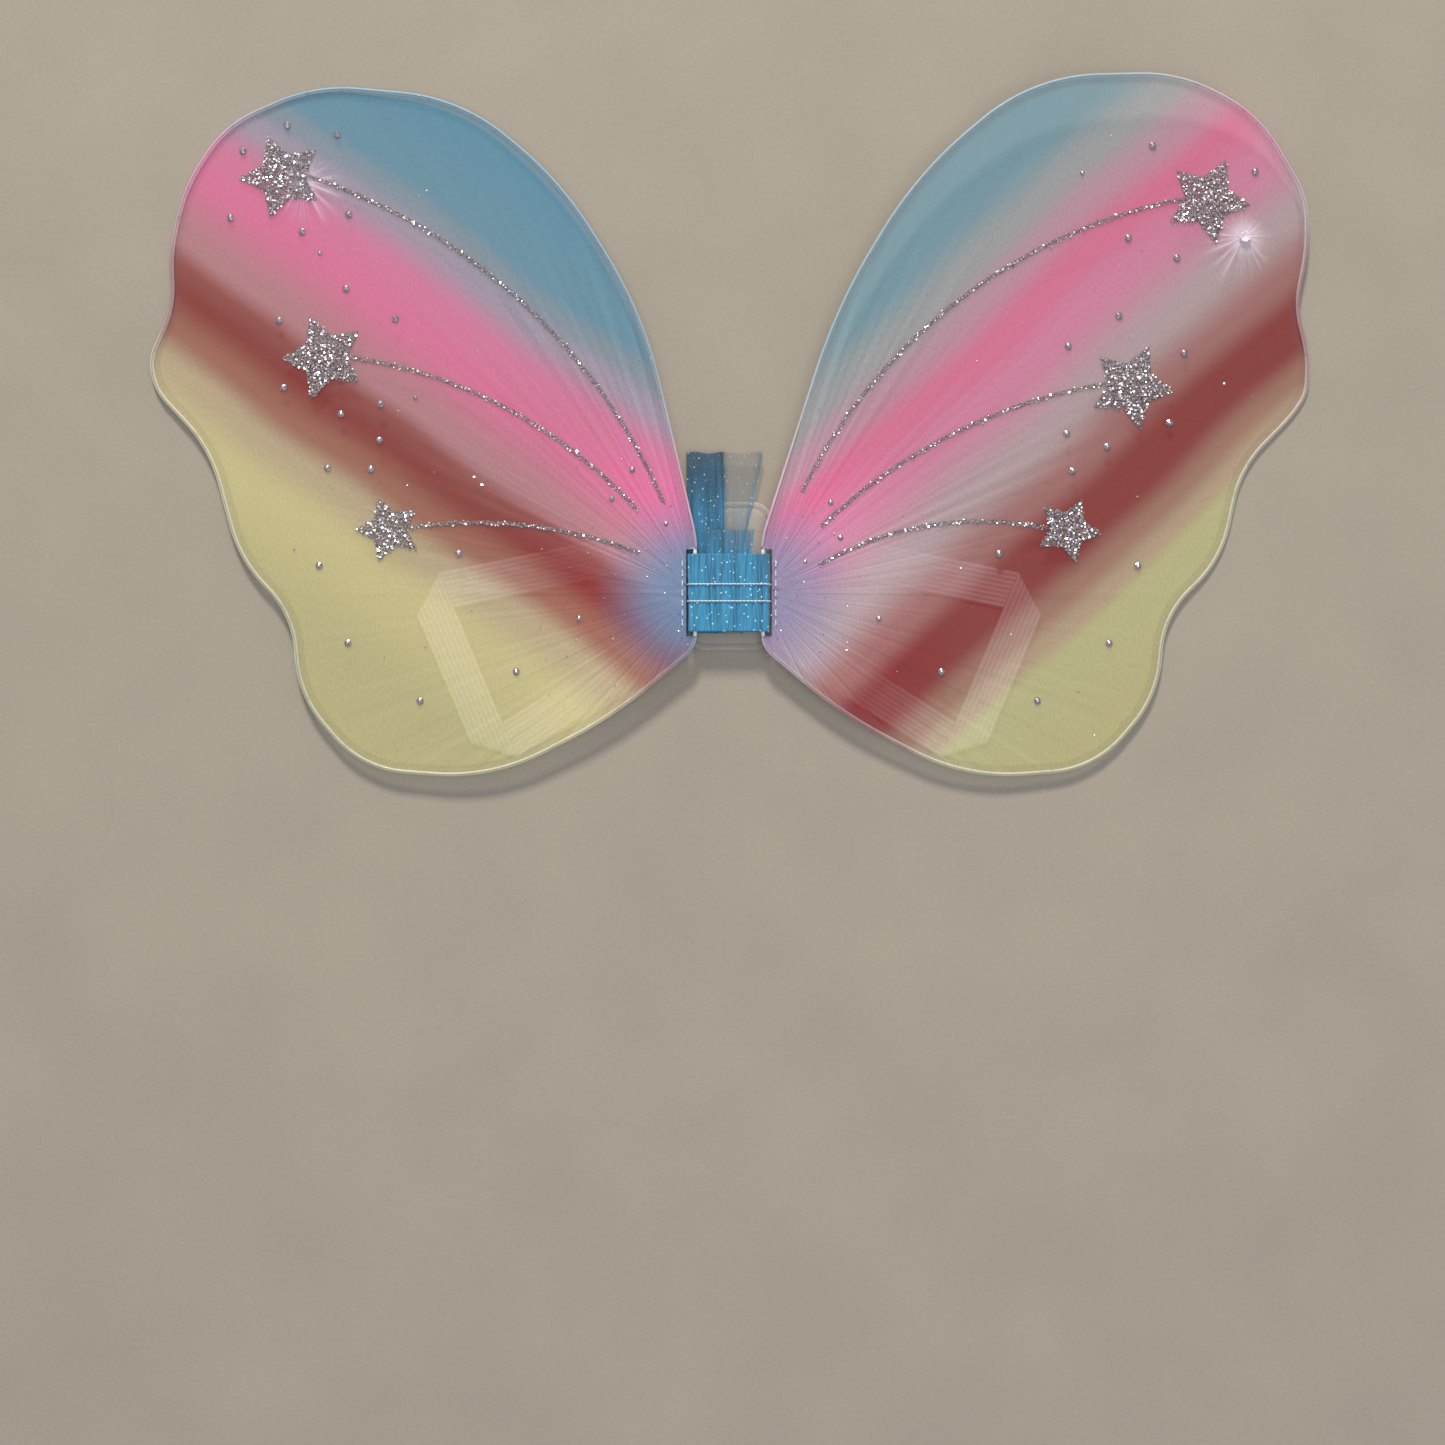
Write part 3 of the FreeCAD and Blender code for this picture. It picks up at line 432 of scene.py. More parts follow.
def dyed_nylon(name, wing):
    """Sheer nylon jersey, acid dyed in bands: a soft sheen, half see-through in each layer."""
    material, tree, shader = finish_named(name, Roughness=0.5, Sheen_Weight=0.25, Sheen_Roughness=0.4,
                                          Specular_IOR_Level=0.35, IOR=1.53)
    place = in_millimetres(tree)
    side, turn = wing["side"], math.radians(wing["turn"])
    flat = add_node(tree, "ShaderNodeVectorMath", {
        0: place, 1: (side, 1, 0)}, operation="MULTIPLY").outputs[0]

    # dye: distance across the slanting bands, which wander by up to 14 mm over 110 mm. The stops
    # move by half of that, the noise's mean.
    across = add_node(tree, "ShaderNodeVectorMath", {
        0: flat, 1: (-math.sin(turn), math.cos(turn), 0)}, operation="DOT_PRODUCT").outputs["Value"]
    drift = add_node(tree, "ShaderNodeTexNoise", {
        "Vector": place, "Scale": 1 / 110, "Detail": 1.0}).outputs["Fac"]
    wander = 14.0
    wandered = add_node(tree, "ShaderNodeMath", {
        0: drift, 1: wander, 2: across}, operation="MULTIPLY_ADD").outputs[0]
    bands = [(at + wander / 2, code) for at, code in wing["bands"]]
    low, high = bands[0][0], bands[-1][0]
    dye = add_node(tree, "ShaderNodeValToRGB", {"Fac": add_node(tree, "ShaderNodeMapRange", {
        "Value": wandered, "From Min": low, "From Max": high}).outputs["Result"]})
    ramp = dye.color_ramp
    ramp.interpolation = "EASE"
    for at, code in bands[1:-1]:
        ramp.elements.new((at - low) / (high - low)).color = linear(code)
    ramp.elements[0].color, ramp.elements[-1].color = linear(bands[0][1]), linear(bands[-1][1])

    # root: the bands run together into a soft blue where the tube is gathered
    root = (ROOT_OFFSET - 2, ROOT_MIDDLE, 0)
    from_root = add_node(tree, "ShaderNodeVectorMath", {0: flat, 1: root}, operation="SUBTRACT").outputs[0]
    reach = add_node(tree, "ShaderNodeVectorMath", {0: add_node(tree, "ShaderNodeVectorMath", {
        0: from_root, 1: (1, 1, 0)}, operation="MULTIPLY").outputs[0]}, operation="LENGTH").outputs["Value"]
    near_root = add_node(tree, "ShaderNodeMapRange", {
        "Value": reach, "From Min": 12.0, "From Max": 48.0, "To Min": 0.85, "To Max": 0.0},
        interpolation_type="SMOOTHSTEP").outputs["Result"]
    rooted = add_node(tree, "ShaderNodeMixRGB", {
        "Fac": near_root, "Color1": dye.outputs["Color"], "Color2": linear(wing["root"])}).outputs["Color"]

    # pleat lines: fine rays from the root, a degree or two apart, fading outwards. Their lighter and darker
    # streaks are partly nylon stacked in the pleats and partly painted light and shade on the folds
    split = add_node(tree, "ShaderNodeSeparateXYZ", {0: from_root})
    bearing = add_node(tree, "ShaderNodeMath", {
        0: split.outputs[1], 1: split.outputs[0]}, operation="ARCTAN2").outputs[0]
    rays = add_node(tree, "ShaderNodeTexNoise", {
        "W": add_node(tree, "ShaderNodeMath", {0: bearing, 1: 34.0}, operation="MULTIPLY").outputs[0],
        "Scale": 1.0, "Detail": 2.0}, noise_dimensions="1D").outputs["Fac"]
    ray_depth = add_node(tree, "ShaderNodeMapRange", {
        "Value": reach, "From Min": 15.0, "From Max": 170.0,
        "To Min": 0.42, "To Max": 0.04}).outputs["Result"]
    # Painted light and shade in part: the rays lighten and darken the dye along the pleats.
    pleat_light_and_shade = add_node(tree, "ShaderNodeMixRGB", {
        "Fac": ray_depth, "Color1": rooted, "Color2": rays}, blend_type="OVERLAY").outputs["Color"]

    # tied toe: white stress lines where the jersey is drawn to a point
    knot = (wing["knot"][0], wing["knot"][1], 0)
    from_knot = add_node(tree, "ShaderNodeVectorMath", {0: add_node(tree, "ShaderNodeVectorMath", {
        0: flat, 1: knot}, operation="SUBTRACT").outputs[0], 1: (1, 1, 0)}, operation="MULTIPLY").outputs[0]
    even = add_node(tree, "ShaderNodeVectorMath", {0: from_knot}, operation="LENGTH").outputs["Value"]
    rootward = add_node(tree, "ShaderNodeVectorMath", {
        0: from_knot, 1: (-0.55, -0.83, 0)}, operation="DOT_PRODUCT").outputs["Value"]
    off = add_node(tree, "ShaderNodeMath", {
        0: rootward, 1: -0.35, 2: even}, operation="MULTIPLY_ADD").outputs[0]
    parts = add_node(tree, "ShaderNodeSeparateXYZ", {0: from_knot})
    spin = add_node(tree, "ShaderNodeMath", {
        0: parts.outputs[1], 1: parts.outputs[0]}, operation="ARCTAN2").outputs[0]
    spokes = add_node(tree, "ShaderNodeTexNoise", {
        "W": add_node(tree, "ShaderNodeMath", {0: spin, 1: 4.5}, operation="MULTIPLY").outputs[0],
        "Scale": 1.0, "Detail": 3.0}, noise_dimensions="1D").outputs["Fac"]
    sharp = add_node(tree, "ShaderNodeMapRange", {
        "Value": spokes, "From Min": 0.38, "From Max": 0.72},
        interpolation_type="SMOOTHSTEP").outputs["Result"]
    long_reach = add_node(tree, "ShaderNodeMapRange", {
        "Value": off, "From Min": 2.0, "From Max": 17.0, "To Min": 0.7, "To Max": 0.0},
        interpolation_type="SMOOTHERSTEP").outputs["Result"]
    core = add_node(tree, "ShaderNodeMapRange", {
        "Value": even, "From Min": 0.5, "From Max": 11.0, "To Min": 0.9, "To Max": 0.0},
        interpolation_type="SMOOTHSTEP").outputs["Result"]
    lines = add_node(tree, "ShaderNodeMath", {0: sharp, 1: long_reach}, operation="MULTIPLY").outputs[0]
    burst = add_node(tree, "ShaderNodeMath", {0: lines, 1: core}, operation="MAXIMUM").outputs[0]
    drawn = add_node(tree, "ShaderNodeMixRGB", {
        "Fac": burst, "Color1": pleat_light_and_shade, "Color2": linear("#f3e3ef")}).outputs["Color"]

    # rim: a fine pale line over the white wire, partly the wire seen through the nylon and partly a painted
    # highlight, and a band of painted shade just inside it
    edge = add_node(tree, "ShaderNodeAttribute", attribute_name="wire_edge").outputs["Fac"]
    # Painted highlight in part: the pale rim colour also stands for the white wire under the nylon.
    pale = add_node(tree, "ShaderNodeMath", {0: edge, 1: 0.24}, operation="MULTIPLY").outputs[0]
    inwards = add_node(tree, "ShaderNodeAttribute", attribute_name="rim_distance").outputs["Fac"]
    # Painted shade: a darker band from 0.4 to 3.6 mm inside the rim, where the layers part.
    rim_shadow_band = add_node(tree, "ShaderNodeMath", {0: inwards, 1: 2.0, 2: 1.6}, operation="COMPARE").outputs[0]
    shadowed = add_node(tree, "ShaderNodeMapRange", {
        "Value": rim_shadow_band, "To Min": 0.0, "To Max": 0.16}).outputs["Result"]
    rim_shadowed = add_node(tree, "ShaderNodeMixRGB", {
        "Fac": shadowed, "Color1": drawn, "Color2": linear("#6b5a66")}).outputs["Color"]
    rimmed = add_node(tree, "ShaderNodeMixRGB", {
        "Fac": pale, "Color1": rim_shadowed, "Color2": linear("#f4f6fa")}).outputs["Color"]

    # knit: 0.3 mm loops are too fine to show, so the wales are drawn 0.9 mm apart
    wales = add_node(tree, "ShaderNodeTexNoise", {"Vector": add_node(tree, "ShaderNodeMapping", {
        "Vector": place, "Scale": (1.1, 0.55, 0.0)}).outputs[0], "Scale": 1.0, "Detail": 2.0}).outputs["Fac"]
    knitted = add_node(tree, "ShaderNodeMixRGB", {
        "Fac": 0.12, "Color1": rimmed, "Color2": wales}, blend_type="OVERLAY").outputs["Color"]
    tree.links.new(knitted, shader.inputs["Base Color"])

    # cover: each layer hides under half of what is behind it, more where it is bunched
    gathered = add_node(tree, "ShaderNodeMapRange", {
        "Value": reach, "From Min": 18.0, "From Max": 95.0, "To Min": 0.30, "To Max": 0.0},
        interpolation_type="SMOOTHSTEP").outputs["Result"]
    body = add_node(tree, "ShaderNodeMath", {0: gathered, 1: 0.43}, operation="ADD").outputs[0]
    bunched = add_node(tree, "ShaderNodeMath", {
        0: burst, 1: 0.35, 2: body}, operation="MULTIPLY_ADD").outputs[0]
    solid = add_node(tree, "ShaderNodeMath", {
        0: edge, 1: 0.3, 2: bunched}, operation="MULTIPLY_ADD").outputs[0]
    uneven = add_node(tree, "ShaderNodeMath", {0: wales, 1: 0.5}, operation="SUBTRACT").outputs[0]
    tree.links.new(add_node(tree, "ShaderNodeMath", {0: uneven, 1: 0.10, 2: solid},
                            operation="MULTIPLY_ADD", use_clamp=True).outputs[0], shader.inputs["Alpha"])
    relief = add_node(tree, "ShaderNodeMath", {
        0: rays, 1: ray_depth, 2: lines}, operation="MULTIPLY_ADD").outputs[0]
    folds = add_node(tree, "ShaderNodeBump", {
        "Height": relief, "Strength": 0.6, "Distance": 0.0004}).outputs["Normal"]
    tree.links.new(add_node(tree, "ShaderNodeBump", {
        "Height": wales, "Strength": 0.12, "Distance": 0.0002, "Normal": folds}).outputs["Normal"],
        shader.inputs["Normal"])
    return material


covers = {}
for name, wing in WINGS.items():
    cover, area = make_cover(name + "_wing_nylon", wing, dyed_nylon(name + "_dyed_nylon_jersey", wing))
    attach(cover, name + "_wing")
    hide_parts(name + "_wing_cover")
    covers[name] = cover

# ---- Glitter stars and trails -----------------------------------------------------------
# Stars and shooting trails screen-printed in clear glue and dusted with silver polyester
# glitter. The glue is the part's own thin crust; the flakes stand on it at all angles.

# Glue dusted with fine silver powder: grey, half clear, sparkling in 0.5 mm grains.
dusted, tree, shader = finish_named("silver_dusted_glue", Metallic=0.55)
place = in_millimetres(tree)
grains = add_node(tree, "ShaderNodeTexVoronoi", {"Vector": place, "Scale": 1 / 0.5})
each_grain = add_node(tree, "ShaderNodeSeparateXYZ", {0: grains.outputs["Color"]})
shade = add_node(tree, "ShaderNodeValToRGB", {"Fac": each_grain.outputs[0]})
shade.color_ramp.elements[0].color = linear("#5f5258")
shade.color_ramp.elements[1].color = linear("#a99ea1")
tree.links.new(shade.outputs["Color"], shader.inputs["Base Color"])
tree.links.new(add_node(tree, "ShaderNodeMapRange", {
    "Value": each_grain.outputs[1], "To Min": 0.15, "To Max": 0.6}).outputs["Result"],
    shader.inputs["Roughness"])
tree.links.new(add_node(tree, "ShaderNodeMapRange", {
    "Value": each_grain.outputs[2], "To Min": 0.15, "To Max": 0.55}).outputs["Result"],
    shader.inputs["Alpha"])
tree.links.new(add_node(tree, "ShaderNodeBump", {
    "Height": grains.outputs["Distance"], "Strength": 0.9, "Distance": 0.0003}).outputs["Normal"],
    shader.inputs["Normal"])

# Aluminised polyester flake: a near mirror with a faint warm cast, a little scuffed.
flake, tree, shader = finish_named("aluminised_polyester_flake", Metallic=1.0)
place = in_millimetres(tree)
cast = add_node(tree, "ShaderNodeTexNoise", {"Vector": place, "Scale": 1 / 0.9, "Detail": 1.0})
tint = add_node(tree, "ShaderNodeValToRGB", {"Fac": cast.outputs["Fac"]})
tint.color_ramp.elements[0].position, tint.color_ramp.elements[0].color = 0.35, linear("#cfc3c6")
tint.color_ramp.elements[1].position, tint.color_ramp.elements[1].color = 0.6, linear("#fbf7f6")
tree.links.new(tint.outputs["Color"], shader.inputs["Base Color"])
tree.links.new(add_node(tree, "ShaderNodeMapRange", {
    "Value": cast.outputs["Fac"], "To Min": 0.1, "To Max": 0.34}).outputs["Result"],
    shader.inputs["Roughness"])


def growth_tree(name, wanted):
    """A geometry tree with named inputs for its sizes, and the value for each input's identifier."""
    tree = bpy.data.node_groups.new(name, "GeometryNodeTree")
    tree.interface.new_socket("Geometry", in_out="INPUT", socket_type="NodeSocketGeometry")
    values = {}
    for label, value in wanted.items():
        socket = tree.interface.new_socket(label, in_out="INPUT", socket_type="NodeSocketFloat")
        values[socket.identifier] = value
    tree.interface.new_socket("Geometry", in_out="OUTPUT", socket_type="NodeSocketGeometry")
    return tree, values, add_node(tree, "NodeGroupInput")


def end_tree(tree, placed, material):
    """Ends a geometry tree: its instances made real, in one material."""
    real = add_node(tree, "GeometryNodeRealizeInstances", {0: placed.outputs[0]})
    painted = add_node(tree, "GeometryNodeSetMaterial", {"Geometry": real.outputs[0], "Material": material})
    add_node(tree, "NodeGroupOutput", {0: painted.outputs[0]})


THROW = 0.5         # how far a flake lands from its place, in millimetres


def scatter_flakes(name, source, per_mm2, radius, seed, weight=None):
    """Hexagonal flakes strewn over the upward faces of a mesh and turned to a plain mesh."""
    tree, values, given = growth_tree(name + "_strewing", {
        "Flakes per square metre": per_mm2 * 1e6, "Flake radius": radius / 1000, "Tilt": 0.72})
    facing = add_node(tree, "GeometryNodeInputNormal").outputs[0]
    height = add_node(tree, "ShaderNodeSeparateXYZ", {0: facing})
    upward = add_node(tree, "FunctionNodeCompare", {0: height.outputs[2], 1: 0.5}, operation="GREATER_THAN")
    share = given.outputs["Flakes per square metre"]
    if weight:
        sown = add_node(tree, "GeometryNodeInputNamedAttribute", {"Name": weight})
        share = add_node(tree, "ShaderNodeMath", {
            0: share, 1: sown.outputs[0]}, operation="MULTIPLY").outputs[0]
    strewn = add_node(tree, "GeometryNodeDistributePointsOnFaces", {
        "Mesh": given.outputs["Geometry"], "Selection": upward.outputs[0], "Density": share, "Seed": seed})
    thrown = add_node(tree, "FunctionNodeRandomValue", {
        0: (-THROW / 1000, -THROW / 1000, radius * 0.0003),
        1: (THROW / 1000, THROW / 1000, radius * 0.0006), "Seed": seed + 3}, data_type="FLOAT_VECTOR")
    lifted = add_node(tree, "GeometryNodeSetPosition", {
        "Geometry": strewn.outputs["Points"], "Offset": thrown.outputs[0]})
    hexagon = add_node(tree, "GeometryNodeMeshCircle", {
        "Vertices": 6, "Radius": given.outputs["Flake radius"]}, fill_type="NGON")
    low = add_node(tree, "ShaderNodeMath", {
        0: given.outputs["Tilt"], 1: -1.0}, operation="MULTIPLY").outputs[0]
    least = add_node(tree, "ShaderNodeCombineXYZ", {0: low, 1: low})
    most = add_node(tree, "ShaderNodeCombineXYZ", {
        0: given.outputs["Tilt"], 1: given.outputs["Tilt"], 2: 2 * math.pi})
    lean = add_node(tree, "FunctionNodeRandomValue", {
        0: least.outputs[0], 1: most.outputs[0], "Seed": seed + 1}, data_type="FLOAT_VECTOR")
    scale = add_node(tree, "FunctionNodeRandomValue", {2: 0.55, 3: 1.25, "Seed": seed + 2}, data_type="FLOAT")
    placed = add_node(tree, "GeometryNodeInstanceOnPoints", {
        "Points": lifted.outputs[0], "Instance": hexagon.outputs[0],
        "Rotation": lean.outputs[0], "Scale": scale.outputs[1]})
    end_tree(tree, placed, flake)
    return grown(name, source, tree, values)


def grown(name, source, tree, values):
    """Runs a geometry tree on a copy of a mesh and returns the result as a plain piece."""
    holder = bpy.data.objects.new(name + "_holder", source.copy())
    bpy.context.scene.collection.objects.link(holder)
    growth = holder.modifiers.new("growth", "NODES")
    growth.node_group = tree
    for identifier, value in values.items():
        growth[identifier] = value
    bpy.context.view_layer.update()
    made = bpy.data.meshes.new_from_object(holder.evaluated_get(bpy.context.evaluated_depsgraph_get()))
    holder.modifiers.remove(growth)
    bpy.data.objects.remove(holder)
    made.name = name
    piece = bpy.data.objects.new(name, made)
    bpy.context.scene.collection.objects.link(piece)
    return piece


# How many flakes lie on each square millimetre, and a flake's radius in millimetres
STREWN = {"stars": (2.0, 0.40), "trails": (1.9, 0.34)}
for i, name in enumerate(WINGS):
    for what, (per_mm2, radius) in STREWN.items():
        node_name = name + "_glitter_" + what
        give(node_name, dusted)
        piece = scatter_flakes(name + "_" + what + "_flakes", nodes[node_name].data,
                               per_mm2, radius, 11 + 5 * i)
        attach(piece, name + "_wing")

# ---- Stray glitter ----------------------------------------------------------------------
# Loose silver flakes that came off in handling and cling to the nylon, thickest at the root.

for i, name in enumerate(WINGS):
    sown = covers[name].data.copy()
    place = np.empty(len(sown.vertices) * 3, np.float32)
    sown.vertices.foreach_get("co", place)
    place = place.reshape(-1, 3) * 1000
    reach = np.hypot(abs(place[:, 0]) - ROOT_OFFSET, place[:, 1] - ROOT_MIDDLE)
    share = np.where(reach > 7, np.exp(-np.maximum(reach - 10, 0) / 22) + 0.015, 0)
    strewn_share = sown.attributes.new("strewn_share", "FLOAT", "POINT")
    strewn_share.data.foreach_set("value", share.astype(np.float32))
    strays = scatter_flakes(name + "_stray_glitter", sown, 0.035, 0.38, 31 + 7 * i, "strewn_share")
    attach(strays, name + "_wing")

# ---- Rhinestones ------------------------------------------------------------------------
# Flat-backed acrylic rhinestones, moulded with eight facets round a table, foiled on the back
# and heat-set on the nylon. Each stands where the part's own plain stone is.

# Foiled acrylic: clear over a silver foil, so each facet mirrors another patch of the room.
foiled, tree, shader = finish_named("foiled_acrylic", Metallic=0.9, Coat_Weight=1.0, Coat_Roughness=0.03,
                                    Coat_IOR=1.49)
place = in_millimetres(tree)
cloudy = add_node(tree, "ShaderNodeTexNoise", {"Vector": place, "Scale": 1 / 1.1, "Detail": 2.0})
foil = add_node(tree, "ShaderNodeValToRGB", {"Fac": cloudy.outputs["Fac"]})
foil.color_ramp.elements[0].position, foil.color_ramp.elements[0].color = 0.35, linear("#a8979c")
foil.color_ramp.elements[1].position, foil.color_ramp.elements[1].color = 0.62, linear("#d9ccd1")
tree.links.new(foil.outputs["Color"], shader.inputs["Base Color"])
tree.links.new(add_node(tree, "ShaderNodeMapRange", {
    "Value": cloudy.outputs["Fac"], "To Min": 0.14, "To Max": 0.28}).outputs["Result"],
    shader.inputs["Roughness"])


def cut_stone():
    """One rhinestone of 1 mm radius and 0.68 mm height on a flat back."""
    rings = ((1.0, 0.0, 0), (1.0, 0.10, 0), (0.86, 0.32, 0.5), (0.20, 0.68, 0))
    points = [(r * math.cos((i + shift) * math.pi / 4), r * math.sin((i + shift) * math.pi / 4), z)
              for r, z, shift in rings for i in range(8)]
    faces = [tuple(reversed(range(8))), tuple(range(24, 32))]
    for i in range(8):
        j = (i + 1) % 8
        faces += [(i, j, 8 + j, 8 + i), (8 + i, 8 + j, 16 + i), (16 + i, 8 + j, 16 + j),
                  (16 + i, 24 + j, 24 + i), (16 + i, 16 + j, 24 + j)]
    mesh = bpy.data.meshes.new("cut_stone")
    mesh.from_pydata([tuple(c / 1000 for c in p) for p in points], [], faces)
    return mesh


def seats_of(node_name):
    """Where each loose solid of a node stands: its base's centre and its base radius, in metres."""
    sorted_out = bmesh.new()
    sorted_out.from_mesh(nodes[node_name].data)
    bmesh.ops.remove_doubles(sorted_out, verts=sorted_out.verts, dist=2e-6)
    seats, waiting = [], set(sorted_out.verts)
    while waiting:
        island, edge = set(), [waiting.pop()]
        while edge:
            v = edge.pop()
            island.add(v)
            for e in v.link_edges:
                other = e.other_vert(v)
                if other in waiting:
                    waiting.discard(other)
                    edge.append(other)
        spots = np.array([tuple(v.co) for v in island])
        low, high = spots.min(0), spots.max(0)
        seats.append((((low[0] + high[0]) / 2, (low[1] + high[1]) / 2, low[2]), (high[1] - low[1]) / 2))
    sorted_out.free()
    return sorted(seats)


def set_stones(name, seats, seed):
    """Instances of the cut stone on the seats, each turned its own way."""
    holder = bpy.data.meshes.new(name + "_seats")
    holder.from_pydata([s[0] for s in seats], [], [])
    holder.attributes.new("stone_radius", "FLOAT", "POINT").data.foreach_set(
        "value", [s[1] * 1000 for s in seats])
    tree, values, given = growth_tree(name + "_setting", {"Stone scale": 1.0})
    radius = add_node(tree, "GeometryNodeInputNamedAttribute", {"Name": "stone_radius"}).outputs[0]
    scale = add_node(tree, "ShaderNodeMath", {
        0: radius, 1: given.outputs["Stone scale"]}, operation="MULTIPLY")
    turn = add_node(tree, "FunctionNodeRandomValue", {
        0: (-0.05, -0.05, 0.0), 1: (0.05, 0.05, 6.28), "Seed": seed}, data_type="FLOAT_VECTOR")
    stone = bpy.data.objects.new("cut_stone", cut_stone())
    source = add_node(tree, "GeometryNodeObjectInfo", {"Object": stone})
    placed = add_node(tree, "GeometryNodeInstanceOnPoints", {
        "Points": given.outputs["Geometry"], "Instance": source.outputs["Geometry"],
        "Rotation": turn.outputs[0], "Scale": scale.outputs[0]})
    end_tree(tree, placed, foiled)
    piece = grown(name, holder, tree, values)
    bpy.data.objects.remove(stone)
    return piece


for i, name in enumerate(WINGS):
    stones = set_stones(name + "_cut_rhinestones", seats_of(name + "_rhinestones"), 41 + i)
    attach(stones, name + "_wing")
    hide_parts(name + "_rhinestones")

# ---- Tied toes --------------------------------------------------------------------------
# The closed end of each nylon tube, pulled to a point, bound with a few turns of thread and cut
# short, so that a tiny crumpled tuft stands on the cover: the right one on the front near the
# outer edge, the left one on the back under its upper star.

# Cut nylon, bunched: nearly opaque and white, with the fine folds 0.5 mm apart.
bunched_nylon, tree, shader = finish_named("bunched_nylon_tuft", Roughness=0.55, Sheen_Weight=0.4)
place = in_millimetres(tree)
crumple = add_node(tree, "ShaderNodeTexNoise", {"Vector": place, "Scale": 1 / 0.5, "Detail": 3.0})
white = add_node(tree, "ShaderNodeValToRGB", {"Fac": crumple.outputs["Fac"]})
white.color_ramp.elements[0].color, white.color_ramp.elements[1].color = linear("#d9c4d4"), linear("#f2e6ef")
tree.links.new(white.outputs["Color"], shader.inputs["Base Color"])
tree.links.new(add_node(tree, "ShaderNodeBump", {
    "Height": crumple.outputs["Fac"], "Strength": 0.5, "Distance": 0.0003}).outputs["Normal"],
    shader.inputs["Normal"])

# Spun polyester thread: matt white, its two plies crossing it every 1.6 mm.
thread, tree, shader = finish_named("spun_polyester_thread", Roughness=0.7, Sheen_Weight=0.3)
place = in_millimetres(tree)
plies = add_node(tree, "ShaderNodeTexWave", {
    "Vector": place, "Scale": 0.4, "Distortion": 0.6}, bands_direction="DIAGONAL")
ply = add_node(tree, "ShaderNodeValToRGB", {"Fac": plies.outputs["Fac"]})
ply.color_ramp.elements[0].color, ply.color_ramp.elements[1].color = linear("#a9bdc9"), linear("#eef4f7")
tree.links.new(ply.outputs["Color"], shader.inputs["Base Color"])
tree.links.new(add_node(tree, "ShaderNodeBump", {
    "Height": plies.outputs["Fac"], "Strength": 0.6, "Distance": 0.0001}).outputs["Normal"],
    shader.inputs["Normal"])

# The tuft's outline from its foot up, over the lip and down into the middle: rise and radius as
# shares of the tuft's height and spread, and how deep its folds are there
TUFT = ((0.0, 0.44, 0.05), (0.22, 0.44, 0.08), (0.4, 0.5, 0.12), (0.62, 0.78, 0.2), (0.85, 0.96, 0.26),
        (1.0, 1.0, 0.3), (0.93, 0.82, 0.26), (0.7, 0.5, 0.2), (0.55, 0.22, 0.1))
for name, wing in WINGS.items():
    low, high = (np.array(c) * 1000 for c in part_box(name + "_cover_knot"))
    centre, spread, tall = (low + high) / 2, (high[1] - low[1]) / 2, 0.93 * (high[2] - low[2])
    out, foot = wing["face"], low[2] if wing["face"] > 0 else high[2]
    rows, around = [], 72
    for rise, radius, fold in TUFT:
        turn = np.linspace(0, 2 * math.pi, around, endpoint=False)
        waves = ripple(turn, (7, 9, 12), 5)
        arm = spread * radius * (1 + fold * waves)
        lift = foot + out * tall * (rise + 0.18 * fold * ripple(turn, (5, 8, 11), 6))
        rows.append(np.stack([centre[0] + arm * np.cos(turn), centre[1] + arm * np.sin(turn), lift], 1))
    closing = [[centre[0], centre[1], foot + out * 0.5 * tall], [centre[0], centre[1], foot]]
    points = np.vstack(rows + [closing])
    faces = []
    for r in range(len(rows) - 1):
        for i in range(around):
            j = (i + 1) % around
            faces.append((r * around + i, r * around + j, (r + 1) * around + j, (r + 1) * around + i))
    top, bottom = len(points) - 2, len(points) - 1
    for i in range(around):
        j = (i + 1) % around
        faces.append(((len(rows) - 1) * around + i, (len(rows) - 1) * around + j, top))
        faces.append((j, i, bottom))
    if out < 0:
        faces = [tuple(reversed(f)) for f in faces]
    tuft = new_piece(name + "_toe_tuft", (points / 1000).tolist(), faces, bunched_nylon)
    tuft.data.shade_smooth()
    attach(tuft, name + "_wing")
    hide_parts(name + "_cover_knot")
    give(name + "_knot_thread", thread)
    give(name + "_root_stitches", thread)

# ---- Sleeves and stiffener --------------------------------------------------------------
# Inside the wrap, each wire turns in two extruded vinyl sleeves, and a greyboard card keeps
# the two pairs apart. They stay the part's own solids.

# Extruded vinyl: milky, satin, with faint drawing lines along the tube.
vinyl, tree, shader = finish_named("extruded_vinyl", Roughness=0.35, IOR=1.53)
place = in_millimetres(tree)
draw = add_node(tree, "ShaderNodeTexNoise", {"Vector": add_node(tree, "ShaderNodeMapping", {
    "Vector": place, "Scale": (2.5, 0.1, 2.5)}).outputs[0], "Scale": 1.0, "Detail": 2.0})
milk = add_node(tree, "ShaderNodeValToRGB", {"Fac": draw.outputs["Fac"]})
milk.color_ramp.elements[0].color, milk.color_ramp.elements[1].color = linear("#c9cdd2"), linear("#e9ecef")
tree.links.new(milk.outputs["Color"], shader.inputs["Base Color"])

# Greyboard: matt recycled fibre, flecked at 0.8 mm.
greyboard, tree, shader = finish_named("greyboard", Roughness=0.9)
place = in_millimetres(tree)
fibre = add_node(tree, "ShaderNodeTexNoise", {"Vector": place, "Scale": 1 / 0.8, "Detail": 5.0})
pulp = add_node(tree, "ShaderNodeValToRGB", {"Fac": fibre.outputs["Fac"]})
pulp.color_ramp.elements[0].color, pulp.color_ramp.elements[1].color = linear("#85807a"), linear("#b5b0a7")
tree.links.new(pulp.outputs["Color"], shader.inputs["Base Color"])

